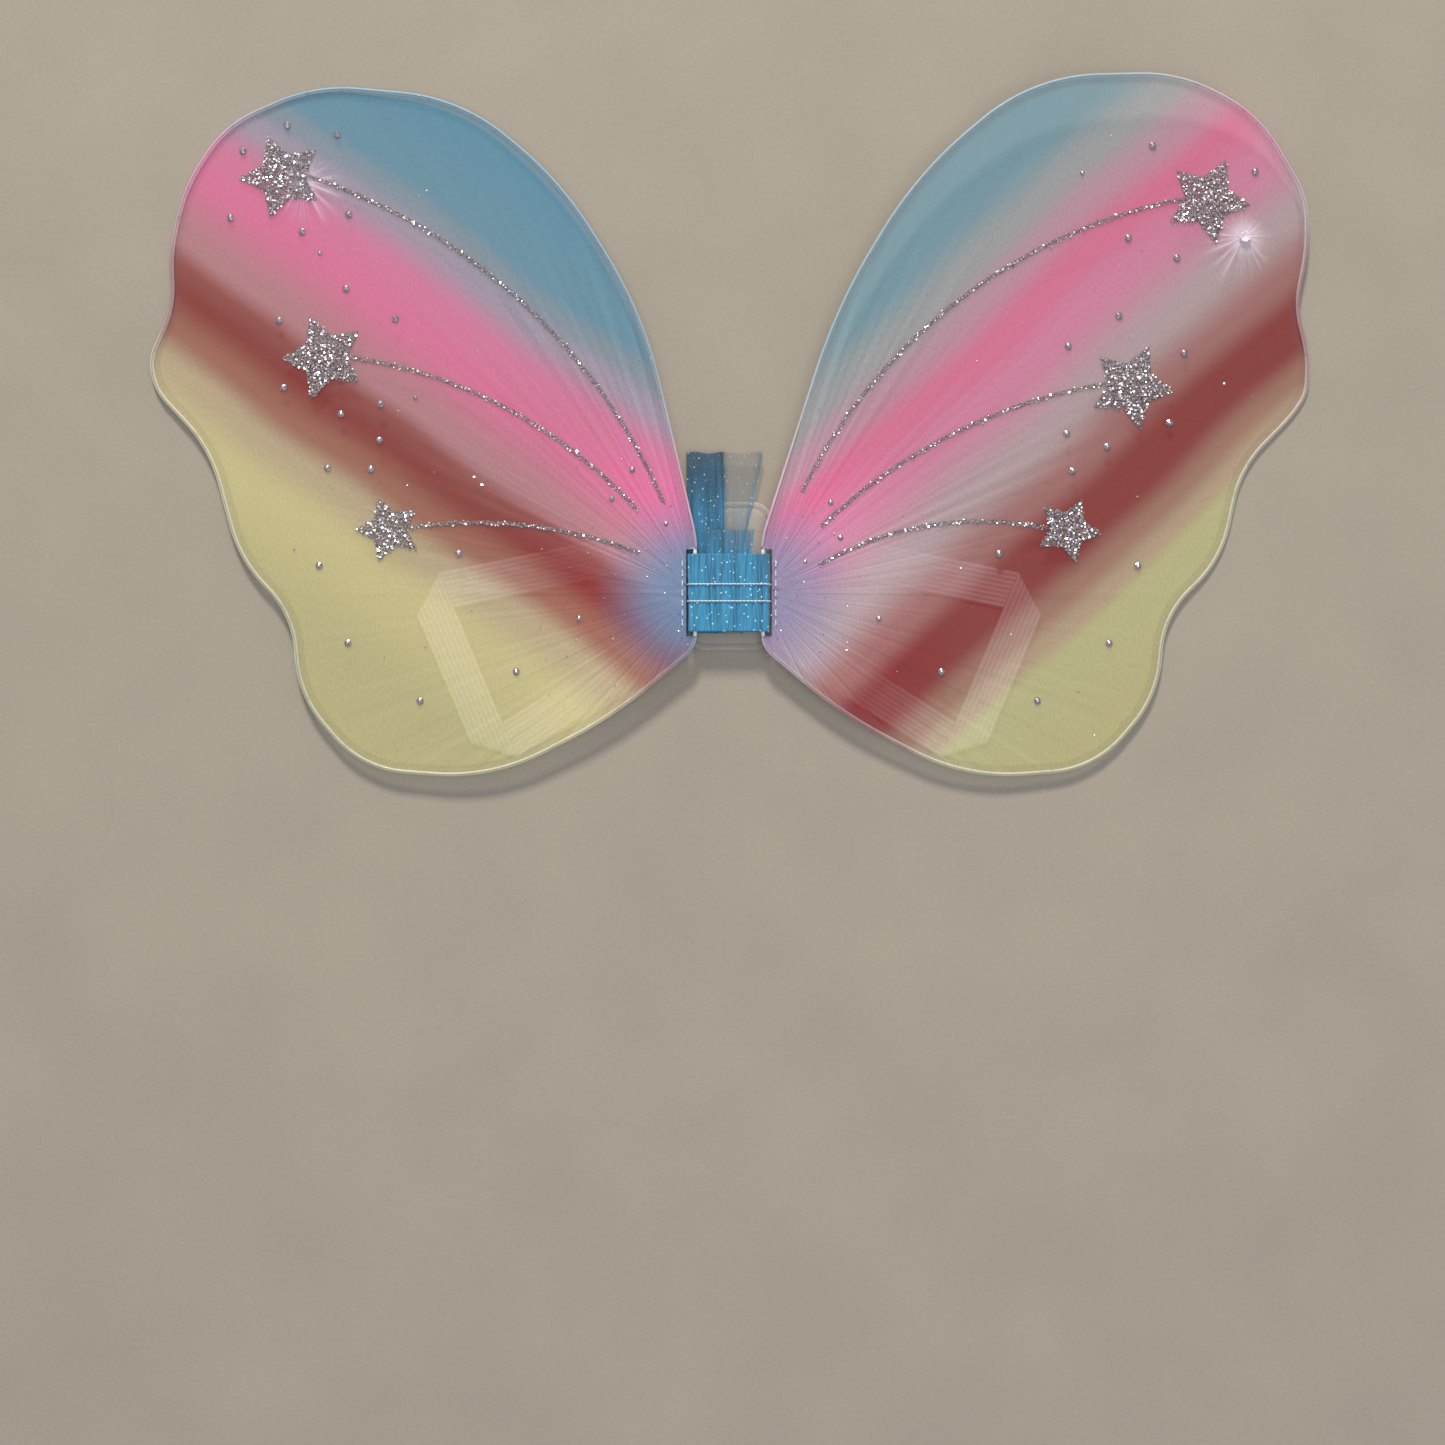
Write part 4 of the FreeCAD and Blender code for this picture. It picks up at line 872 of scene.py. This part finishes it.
give("left_wire_sleeves", vinyl)
give("right_wire_sleeves", vinyl)
give("centre_stiffener", greyboard)

# ---- Centre wrap ------------------------------------------------------------------------
# A band of cyan glitter organza wound round both roots and drawn in by two turns of thread.
# Its pleats run up and down, and its upper edge stands free as a short ruffle.


def organza(name, deep, bright, alpha):
    """Glitter organza: crisp nylon gauze, darker in streaks along the gathers, partly where they stack it and
    partly painted shade in their folds; threads 0.8 mm apart.
    """
    material, tree, shader = finish_named(name, Sheen_Weight=0.3, Coat_Weight=0.15)
    place = in_millimetres(tree)
    wave_x = add_node(tree, "ShaderNodeTexWave", {"Vector": place, "Scale": 0.39}, bands_direction="X")
    wave_y = add_node(tree, "ShaderNodeTexWave", {"Vector": place, "Scale": 0.39}, bands_direction="Y")
    weave = add_node(tree, "ShaderNodeMath", {
        0: wave_x.outputs["Fac"], 1: wave_y.outputs["Fac"]}, operation="MAXIMUM").outputs[0]
    cloud = add_node(tree, "ShaderNodeTexNoise", {
        "Vector": place, "Scale": 1 / 7, "Detail": 3.0}).outputs["Fac"]
    rise = add_node(tree, "ShaderNodeSeparateXYZ", {0: place}).outputs[1]
    faded = add_node(tree, "ShaderNodeMapRange", {
        "Value": rise, "From Min": 8.0, "From Max": 50.0, "To Min": 1.0, "To Max": 0.0}).outputs["Result"]
    mixed = add_node(tree, "ShaderNodeMath", {
        0: cloud, 1: 0.5, 2: faded}, operation="MULTIPLY_ADD").outputs[0]
    dye = add_node(tree, "ShaderNodeValToRGB", {"Fac": mixed})
    dye.color_ramp.elements[0].position, dye.color_ramp.elements[0].color = 0.2, linear(deep)
    dye.color_ramp.elements[1].position, dye.color_ramp.elements[1].color = 1.1 / 1.25, linear(bright)
    spots = add_node(tree, "ShaderNodeTexVoronoi", {"Vector": place, "Scale": 1 / 2.2})
    speck = add_node(tree, "ShaderNodeMapRange", {
        "Value": spots.outputs["Distance"], "From Min": 0.12, "From Max": 0.17, "To Min": 1.0, "To Max": 0.0})
    drawn_out = add_node(tree, "ShaderNodeMapping", {"Vector": place, "Scale": (0.75, 0.035, 0.3)}).outputs[0]
    stacked = add_node(tree, "ShaderNodeTexNoise", {
        "Vector": drawn_out, "Scale": 1.0, "Detail": 3.0}).outputs["Fac"]
    stack_and_fold_shade = add_node(tree, "ShaderNodeMapRange", {
        "Value": stacked, "From Min": 0.38, "From Max": 0.60,
        "To Min": 0.55, "To Max": 0.0}).outputs["Result"]
    # Painted shade in part: the streaks darken towards #16384a along the folds of the gathers, besides where
    # the cloth is stacked.
    gathers = add_node(tree, "ShaderNodeMixRGB", {
        "Fac": stack_and_fold_shade, "Color1": dye.outputs["Color"], "Color2": linear("#16384a")})
    sparkle = add_node(tree, "ShaderNodeMixRGB", {
        "Fac": speck.outputs["Result"], "Color1": gathers.outputs["Color"], "Color2": linear("#dff3fb")})
    tree.links.new(sparkle.outputs["Color"], shader.inputs["Base Color"])
    tree.links.new(add_node(tree, "ShaderNodeMapRange", {
        "Value": speck.outputs["Result"], "To Min": 0.5, "To Max": 0.15}).outputs["Result"],
        shader.inputs["Roughness"])
    thick = add_node(tree, "ShaderNodeAttribute", attribute_name="cloth_layers").outputs["Fac"]
    single = add_node(tree, "ShaderNodeMath", {
        0: weave, 1: 0.12, 2: alpha}, operation="MULTIPLY_ADD").outputs[0]
    tree.links.new(add_node(tree, "ShaderNodeMath", {
        0: single, 1: thick}, operation="MULTIPLY", use_clamp=True).outputs[0], shader.inputs["Alpha"])
    tree.links.new(add_node(tree, "ShaderNodeBump", {
        "Height": weave, "Strength": 0.25, "Distance": 0.0001}).outputs["Normal"], shader.inputs["Normal"])
    return material


def grid_piece(name, points, material, layers, closed=False):
    """A piece from a grid of points, rows by columns; closed joins the last column to the first."""
    rows, columns = points.shape[:2]
    faces = []
    for r in range(rows - 1):
        for c in range(columns if closed else columns - 1):
            d = (c + 1) % columns
            faces.append((r * columns + c, r * columns + d, (r + 1) * columns + d, (r + 1) * columns + c))
    piece = new_piece(name, (points.reshape(-1, 3) / 1000).tolist(), faces, material)
    piece.data.attributes.new("cloth_layers", "FLOAT", "POINT").data.foreach_set(
        "value", np.asarray(layers, np.float32).reshape(-1))
    piece.data.shade_smooth()
    return piece


def face_outwards(mesh, merge=None, caps=()):
    """Turns a skin's faces outwards, its seam merged and its open ends capped first where it has them."""
    skin = bmesh.new()
    skin.from_mesh(mesh)
    skin.verts.ensure_lookup_table()
    for cap in caps:
        skin.faces.new([skin.verts[i] for i in cap])
    if merge:
        bmesh.ops.remove_doubles(skin, verts=skin.verts, dist=merge)
    bmesh.ops.recalc_face_normals(skin, faces=skin.faces)
    skin.to_mesh(mesh)
    skin.free()


def round_roots(share, radius):
    """A point of the flattened oval round both roots: centre of curvature and outward normal."""
    straight, arc = 2 * ROOT_OFFSET, math.pi * radius
    s = (share % 1) * 2 * (straight + arc)
    if s < straight:
        return (-ROOT_OFFSET + s, 0, 1)
    if s < straight + arc:
        a = math.pi / 2 - (s - straight) / radius
        return (ROOT_OFFSET, math.cos(a), math.sin(a))
    if s < 2 * straight + arc:
        return (ROOT_OFFSET - (s - straight - arc), 0, -1)
    a = -math.pi / 2 - (s - 2 * straight - arc) / radius
    return (-ROOT_OFFSET, math.cos(a), math.sin(a))


gauze = organza("cyan_glitter_organza", "#1f5470", "#2f8db6", 0.78)
TUBE_TOP, TUBE_BOTTOM, around = 8.5, -23.5, 420
LASHES = (-11, -4)                  # where the two turns of thread draw the tube in
INNER, FLATTEST, LOOSEST = 2.22, 2.42, 3.15     # the tube's distances from the roots' line
UNDER_THREAD = 2.88                 # the most that the thread leaves it
levels = np.concatenate([np.linspace(TUBE_BOTTOM, TUBE_TOP, 65), np.linspace(TUBE_TOP, TUBE_BOTTOM, 9)])
walls = [True] * 65 + [False] * 9
skin = []
for y, outer in zip(levels, walls):
    tied = sum(math.exp(-((y - lash) / 1.5) ** 2) for lash in LASHES)
    row = []
    for i in range(around):
        share = i / around
        x, nx, nz = round_roots(share, 2.7)
        folds = float(ripple(np.float64(2 * math.pi * share + 0.004 * y), (16, 23, 31), 9))
        creases = float(ripple(np.float64(2 * math.pi * share - 0.006 * y), (44, 61), 10))
        loose = min(LOOSEST, max(FLATTEST, 2.76 + 0.5 * folds + 0.12 * creases))
        arm = loose - max(0.0, loose - UNDER_THREAD) * min(1.0, 1.4 * tied) if outer else INNER
        row.append((x + nx * arm, y, ROOT_HEIGHT + nz * arm))
    skin.append(row)
skin.append(skin[0])
wrap = grid_piece("gathered_wrap", np.array(skin), gauze, np.ones((len(skin), around)) * 1.15, closed=True)
face_outwards(wrap.data, merge=1e-7)
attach(wrap, "centre")
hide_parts("centre_wrap")

# The ruffle springs from inside the tube's upper edge and flares a little as it rises
columns = 260
xs = np.linspace(-1, 1, columns)
ruffle_rows, density = [], []
for t in np.linspace(0, 1, 22):
    y = 7.4 + 11.0 * t + (0.5 * ripple(xs * 9, (3, 5, 7), 12)) * t
    z = 10.6 + (0.35 + 0.95 * t) * ripple(xs * math.pi, (9, 14, 21), 13) + 0.5 * t
    ruffle_rows.append(np.stack([xs * (9.2 + 1.4 * t), y, z], 1))
    density.append(np.full(columns, 1.05 - 0.35 * t))
ruffle = grid_piece("wrap_ruffle", np.array(ruffle_rows)[:, ::-1], gauze, density)
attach(ruffle, "centre")
give("wrap_lashing", thread)

# ---- Loose end of the wrap --------------------------------------------------------------
# The organza's cut end, caught under the wrap and left standing above it. It is folded in
# three at the left and runs out as one sheer layer to a rolled hem at the right.

# Both colours are the dye darkened part-way with painted shade.
tail_gauze = organza("glitter_organza_painted_shade", "#1e4a60", "#2f8bb5", 0.5)
tail_low, tail_high = (np.array(c) * 1000 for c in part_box("wrap_tail"))

# Across the strip from its hem: distance from the left edge, height over the strip's underside,
# and how much of what is behind it the cloth hides there, against one plain layer
profile = [(31.6, 0.35, 1.0), (31.0, 0.3, 1.0), (30.2, 0.35, 0.7), (29.0, 0.3, 0.35)]
profile += [(x, 0.3, 0.35) for x in np.linspace(27, 18, 8)] + [(16.5, 0.3, 0.55)]
profile += [(x, 0.28, 0.95) for x in np.linspace(15, 1.2, 14)]
profile += [(0.4, 0.4, 1.1), (0.05, 0.65, 1.1), (0.3, 0.92, 1.1)]
profile += [(x, 1.0, 0.95) for x in np.linspace(1.4, 14.2, 14)]
profile += [(15.2, 1.08, 1.05), (15.5, 1.25, 1.05), (15.1, 1.45, 1.05)]
profile += [(x, 1.5, 0.95) for x in np.linspace(14, 1.0, 14)]
tail_rows, density = [], []
for t in np.linspace(0, 1, 60):
    y = tail_low[1] + (tail_high[1] - tail_low[1]) * t
    spread = min(1.0, 0.72 + 0.28 * max(0.0, (y - 12) / 36))
    row = []
    for x, z, _ in profile:
        across = x if x <= 16 else 16 + (x - 16) * (spread - 0.45) / 0.55
        sway = 0.12 * math.sin(across * 1.1 + y * 0.13) + 0.07 * math.sin(across * 2.3 - y * 0.21)
        row.append((tail_low[0] + 0.2 + across, y + 0.35 * math.sin(across * 0.5) * t,
                    tail_low[2] + z + sway * min(1, 0.4 + t)))
    tail_rows.append(row)
    density.append([d for _, _, d in profile])
tail = grid_piece("organza_tail", np.array(tail_rows), tail_gauze, density)
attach(tail, "centre")
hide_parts("wrap_tail")

# ---- Back pad ---------------------------------------------------------------------------
# The pad that lies against the wearer's back: needled felt, die-cut with round corners, its
# edge pressed thin and run round with a lockstitch.

# Needled felt: matt off-white with short crossing fibres about 1 mm long.
felt, tree, shader = finish_named("needled_felt", Roughness=0.95, Sheen_Weight=0.6, Sheen_Roughness=0.7)
place = in_millimetres(tree)
fibres = add_node(tree, "ShaderNodeTexNoise", {
    "Vector": place, "Scale": 1 / 0.9, "Detail": 6.0, "Roughness": 0.7, "Distortion": 1.6})
matted = add_node(tree, "ShaderNodeTexNoise", {"Vector": place, "Scale": 1 / 9, "Detail": 2.0})
blend_in = add_node(tree, "ShaderNodeMath", {
    0: fibres.outputs["Fac"], 1: 0.7, 2: add_node(tree, "ShaderNodeMath", {
        0: matted.outputs["Fac"], 1: 0.3}, operation="MULTIPLY").outputs[0]}, operation="MULTIPLY_ADD")
wool = add_node(tree, "ShaderNodeValToRGB", {"Fac": blend_in.outputs[0]})
wool.color_ramp.elements[0].position, wool.color_ramp.elements[0].color = 0.3, linear("#958d81")
wool.color_ramp.elements[1].position, wool.color_ramp.elements[1].color = 0.65, linear("#aca498")
tree.links.new(wool.outputs["Color"], shader.inputs["Base Color"])
tree.links.new(add_node(tree, "ShaderNodeBump", {
    "Height": fibres.outputs["Fac"], "Strength": 0.7, "Distance": 0.0005}).outputs["Normal"],
    shader.inputs["Normal"])

pad_low, pad_high = (np.array(c) * 1000 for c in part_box("back_pad"))


def pad_ring(inset, height, count=240):
    """A rounded rectangle inside the pad's outline, at one height."""
    wide, tall = pad_high[0] - inset, pad_high[1] - inset
    corner = max(9.0 - inset, 2.5)
    ring = []
    for cx, cy, start in ((wide - corner, tall - corner, 0), (corner - wide, tall - corner, 90),
                          (corner - wide, corner - tall, 180), (wide - corner, corner - tall, 270)):
        for i in range(16):
            a = math.radians(start + i * 90 / 15)
            ring.append((cx + corner * math.cos(a), cy + corner * math.sin(a)))
    ring = np.array(ring + ring[:1])
    lengths = np.concatenate([[0], np.cumsum(np.linalg.norm(np.diff(ring, axis=0), axis=1))])
    at = np.linspace(0, lengths[-1], count, endpoint=False)
    return np.stack([np.interp(at, lengths, ring[:, 0]), np.interp(at, lengths, ring[:, 1]),
                     np.full(count, height)], 1)


# From the middle of the back round the edge to the middle of the front: how far in from the
# outline, and how high. The dip 2.5 mm in is where the lockstitch pulls the felt down.
profile = [(14.0, 0.0), (8.0, 0.0), (3.0, 0.02), (1.1, 0.08), (0.35, 0.45), (0.05, 1.0), (0.0, 1.45),
           (0.2, 1.95), (0.7, 2.3), (1.4, 2.42), (2.0, 2.3), (2.5, 2.12), (3.0, 2.3), (3.7, 2.62),
           (5.0, 2.82), (8.0, 2.94), (12.0, 3.0), (15.5, 3.0)]
rings = np.array([pad_ring(inset, pad_low[2] + z) for inset, z in profile])
for k, (inset, z) in enumerate(profile):
    if z > 2.5:
        rings[k, :, 2] += -0.05 + 0.05 * np.sin(rings[k, :, 0] * 0.6) * np.cos(rings[k, :, 1] * 0.45)
closed_pad = grid_piece("felt_pad", rings, felt, np.ones(rings.shape[:2]), closed=True)
count = rings.shape[1]
first_front = (len(profile) - 1) * count
face_outwards(closed_pad.data, caps=(range(count - 1, -1, -1), range(first_front, first_front + count)))
closed_pad.data.shade_smooth()
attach(closed_pad, "centre")
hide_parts("back_pad")


def run_stitches(name, path, length, gap, radius, body, yarn):
    """Thread stitches laid end to end along a path of points, each a short rounded bar."""
    tree, values, given = growth_tree(name + "_seam", {
        "Stitch pitch": (length + gap) / 1000, "Stitch length": length / 1000,
        "Thread radius": radius / 1000})
    line = add_node(tree, "GeometryNodeMeshToCurve", {0: given.outputs["Geometry"]})
    spots = add_node(tree, "GeometryNodeResampleCurve", {
        "Curve": line.outputs[0], "Length": given.outputs["Stitch pitch"]}, mode="LENGTH")
    along = add_node(tree, "GeometryNodeInputTangent")
    facing = add_node(tree, "FunctionNodeAlignRotationToVector", {"Vector": along.outputs[0]}, axis="Z")
    bar = add_node(tree, "GeometryNodeMeshCylinder", {
        "Vertices": 6, "Side Segments": 2, "Radius": given.outputs["Thread radius"],
        "Depth": given.outputs["Stitch length"]}, fill_type="TRIANGLE_FAN")
    placed = add_node(tree, "GeometryNodeInstanceOnPoints", {
        "Points": spots.outputs[0], "Instance": bar.outputs[0], "Rotation": facing.outputs[0]})
    end_tree(tree, placed, yarn)
    holder = bpy.data.meshes.new(name + "_path")
    path = np.asarray(path) / 1000
    holder.from_pydata(path.tolist(), [(i, i + 1) for i in range(len(path) - 1)], [])
    piece = grown(name, holder, tree, values)
    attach(piece, body)


# Matching thread: stone-coloured spun polyester, its plies crossing it every 1.6 mm.
stone_thread, tree, shader = finish_named("stone_polyester_thread", Roughness=0.75, Sheen_Weight=0.3)
place = in_millimetres(tree)
twist = add_node(tree, "ShaderNodeTexWave", {
    "Vector": place, "Scale": 0.4, "Distortion": 0.6}, bands_direction="DIAGONAL")
strand = add_node(tree, "ShaderNodeValToRGB", {"Fac": twist.outputs["Fac"]})
strand.color_ramp.elements[0].color = linear("#857d72")
strand.color_ramp.elements[1].color = linear("#aaa297")
tree.links.new(strand.outputs["Color"], shader.inputs["Base Color"])
seam = pad_ring(2.5, pad_low[2] + 2.22, 400)
run_stitches("pad_seam", np.vstack([seam, seam[:1]]), 2.2, 0.8, 0.22, "centre", stone_thread)

# ---- Shoulder straps --------------------------------------------------------------------
# Two arm loops of flat knitted elastic, 16 mm wide. Each is one length, folded over flat at
# its corners, and it is sewn to the pad's long edge.

# Knitted elastic: white polyester over rubber, with ribs along it 2 mm apart and picks across
# it about 1 mm apart.
elastic, tree, shader = finish_named("knitted_elastic", Roughness=0.8, Sheen_Weight=0.35)
along_band = add_node(tree, "ShaderNodeUVMap", uv_map="band").outputs["UV"]
band = add_node(tree, "ShaderNodeVectorMath", {0: along_band, "Scale": 1000.0}, operation="SCALE").outputs[0]
ribs = add_node(tree, "ShaderNodeTexWave", {
    "Vector": band, "Scale": math.pi / 20, "Distortion": 0.2}, bands_direction="Y")
picks = add_node(tree, "ShaderNodeTexWave", {
    "Vector": band, "Scale": 0.33, "Distortion": 0.4}, bands_direction="X")
knit = add_node(tree, "ShaderNodeMath", {
    0: picks.outputs["Fac"], 1: 0.35, 2: ribs.outputs["Fac"]}, operation="MULTIPLY_ADD").outputs[0]
yarn = add_node(tree, "ShaderNodeValToRGB", {"Fac": knit})
yarn.color_ramp.elements[0].color, yarn.color_ramp.elements[1].color = linear("#c3c4c6"), linear("#f1f1ef")
tree.links.new(yarn.outputs["Color"], shader.inputs["Base Color"])
tree.links.new(add_node(tree, "ShaderNodeBump", {
    "Height": knit, "Strength": 0.6, "Distance": 0.0003}).outputs["Normal"], shader.inputs["Normal"])

BAND_WIDTH, BAND_THICK = 16.0, 0.72
BAND_CORNERS = [(27.4, 12.5), (125.4, -7.5), (97.9, -72.5), (27.4, -27.5)]
BAND_LEVELS = [0.42, 1.24, 0.42, 1.24]      # height of each run, which lies under or over the next


def folded_band(side):
    """A flat elastic loop on its corners: each run is cut at the creases and steps up at them."""
    corners = [Vector((x, y)) for x, y in BAND_CORNERS]
    count = len(corners)
    runs = [(corners[(i + 1) % count] - corners[i]) for i in range(count)]
    heads = [r.normalized() for r in runs]
    lanes = np.linspace(-BAND_WIDTH / 2, BAND_WIDTH / 2, 17)
    points, uvs, faces = [], [], []
    travelled = 0.0
    for i in range(count):
        head, before, after = heads[i], heads[i - 1], heads[(i + 1) % count]
        across = Vector((-head.y, head.x))
        creases = []
        for other, at in ((before, corners[i]), (after, corners[(i + 1) % count])):
            crease = (head + other).normalized()
            slant = crease.dot(head) / crease.dot(across)
            creases.append([(at - corners[i]).dot(head) + t * slant for t in lanes])
        rows = 40
        start = len(points)
        for r in range(rows + 1):
            s = r / rows
            for k, t in enumerate(lanes):
                reach = creases[0][k] * (1 - s) + creases[1][k] * s
                spot = corners[i] + head * reach + across * t
                ease = min(1.0, min(s, 1 - s) * rows / 2.5)
                neighbour = BAND_LEVELS[i - 1] if s < 0.5 else BAND_LEVELS[(i + 1) % count]
                joint = (BAND_LEVELS[i] + neighbour) / 2
                height = joint + (BAND_LEVELS[i] - joint) * math.sin(ease * math.pi / 2)
                crown = 0.05 * (1 - (2 * t / BAND_WIDTH) ** 2) + 0.05 * math.sin(reach * 0.25) * ease
                points.append((side * spot.x, spot.y, height + crown * ease))
                uvs.append((travelled + reach, t))
        for r in range(rows):
            for k in range(len(lanes) - 1):
                a = start + r * len(lanes) + k
                quad = (a, a + len(lanes), a + len(lanes) + 1, a + 1)
                flip = (side > 0) != (i % 2 == 0)
                faces.append(quad if flip else tuple(reversed(quad)))
        travelled += runs[i].length
    return points, uvs, faces


for name, side in (("left", -1), ("right", 1)):
    points, uvs, faces = folded_band(side)
    loop = new_piece(name + "_elastic_loop", [tuple(c / 1000 for c in p) for p in points], faces, elastic)
    layer = loop.data.uv_layers.new(name="band")
    for corner in loop.data.loops:
        layer.data[corner.index].uv = [c / 1000 for c in uvs[corner.vertex_index]]
    face_outwards(loop.data)
    loop.data.shade_smooth()
    solid = loop.modifiers.new("thickness", "SOLIDIFY")
    solid.thickness, solid.offset = BAND_THICK / 1000, 0
    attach(loop, name + "_strap")
    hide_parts(name + "_shoulder_strap")

# ---- Strap seams ------------------------------------------------------------------------
# Each strap hangs from the pad's long edge by overcast stitches, bars of thread that cross the
# gap between them. The strap swings on them.

STITCH_PITCH, STITCH_RADIUS = 3.0, 0.2
PAD_END, STITCH_REACH = 17.6, 3.0       # where a bar enters the pad, and how far out it reaches
for name, side in (("left", -1), ("right", 1)):
    points, faces = [], []
    for y in np.arange(-21.0, 12.1, STITCH_PITCH):
        first = len(points)
        for t in np.linspace(0, 1, 9):
            out, over = PAD_END + STITCH_REACH * t, 2.55 - 0.6 * t + 0.25 * math.sin(math.pi * t)
            for k in range(6):
                a = k * math.pi / 3
                points.append((side * out, y + 0.6 * t + STITCH_RADIUS * math.cos(a),
                               over + STITCH_RADIUS * math.sin(a)))
        for r in range(8):
            for k in range(6):
                a, b = first + 6 * r + k, first + 6 * r + (k + 1) % 6
                faces.append((a, b, b + 6, a + 6))
        faces += [tuple(range(first + 5, first - 1, -1)), tuple(range(first + 48, first + 54))]
    seam = new_piece(name + "_strap_seam", [tuple(c / 1000 for c in p) for p in points], faces, thread)
    face_outwards(seam.data)
    seam.data.shade_smooth()
    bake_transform(seam)

# ---- Sizes and end ----------------------------------------------------------------------

low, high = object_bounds()
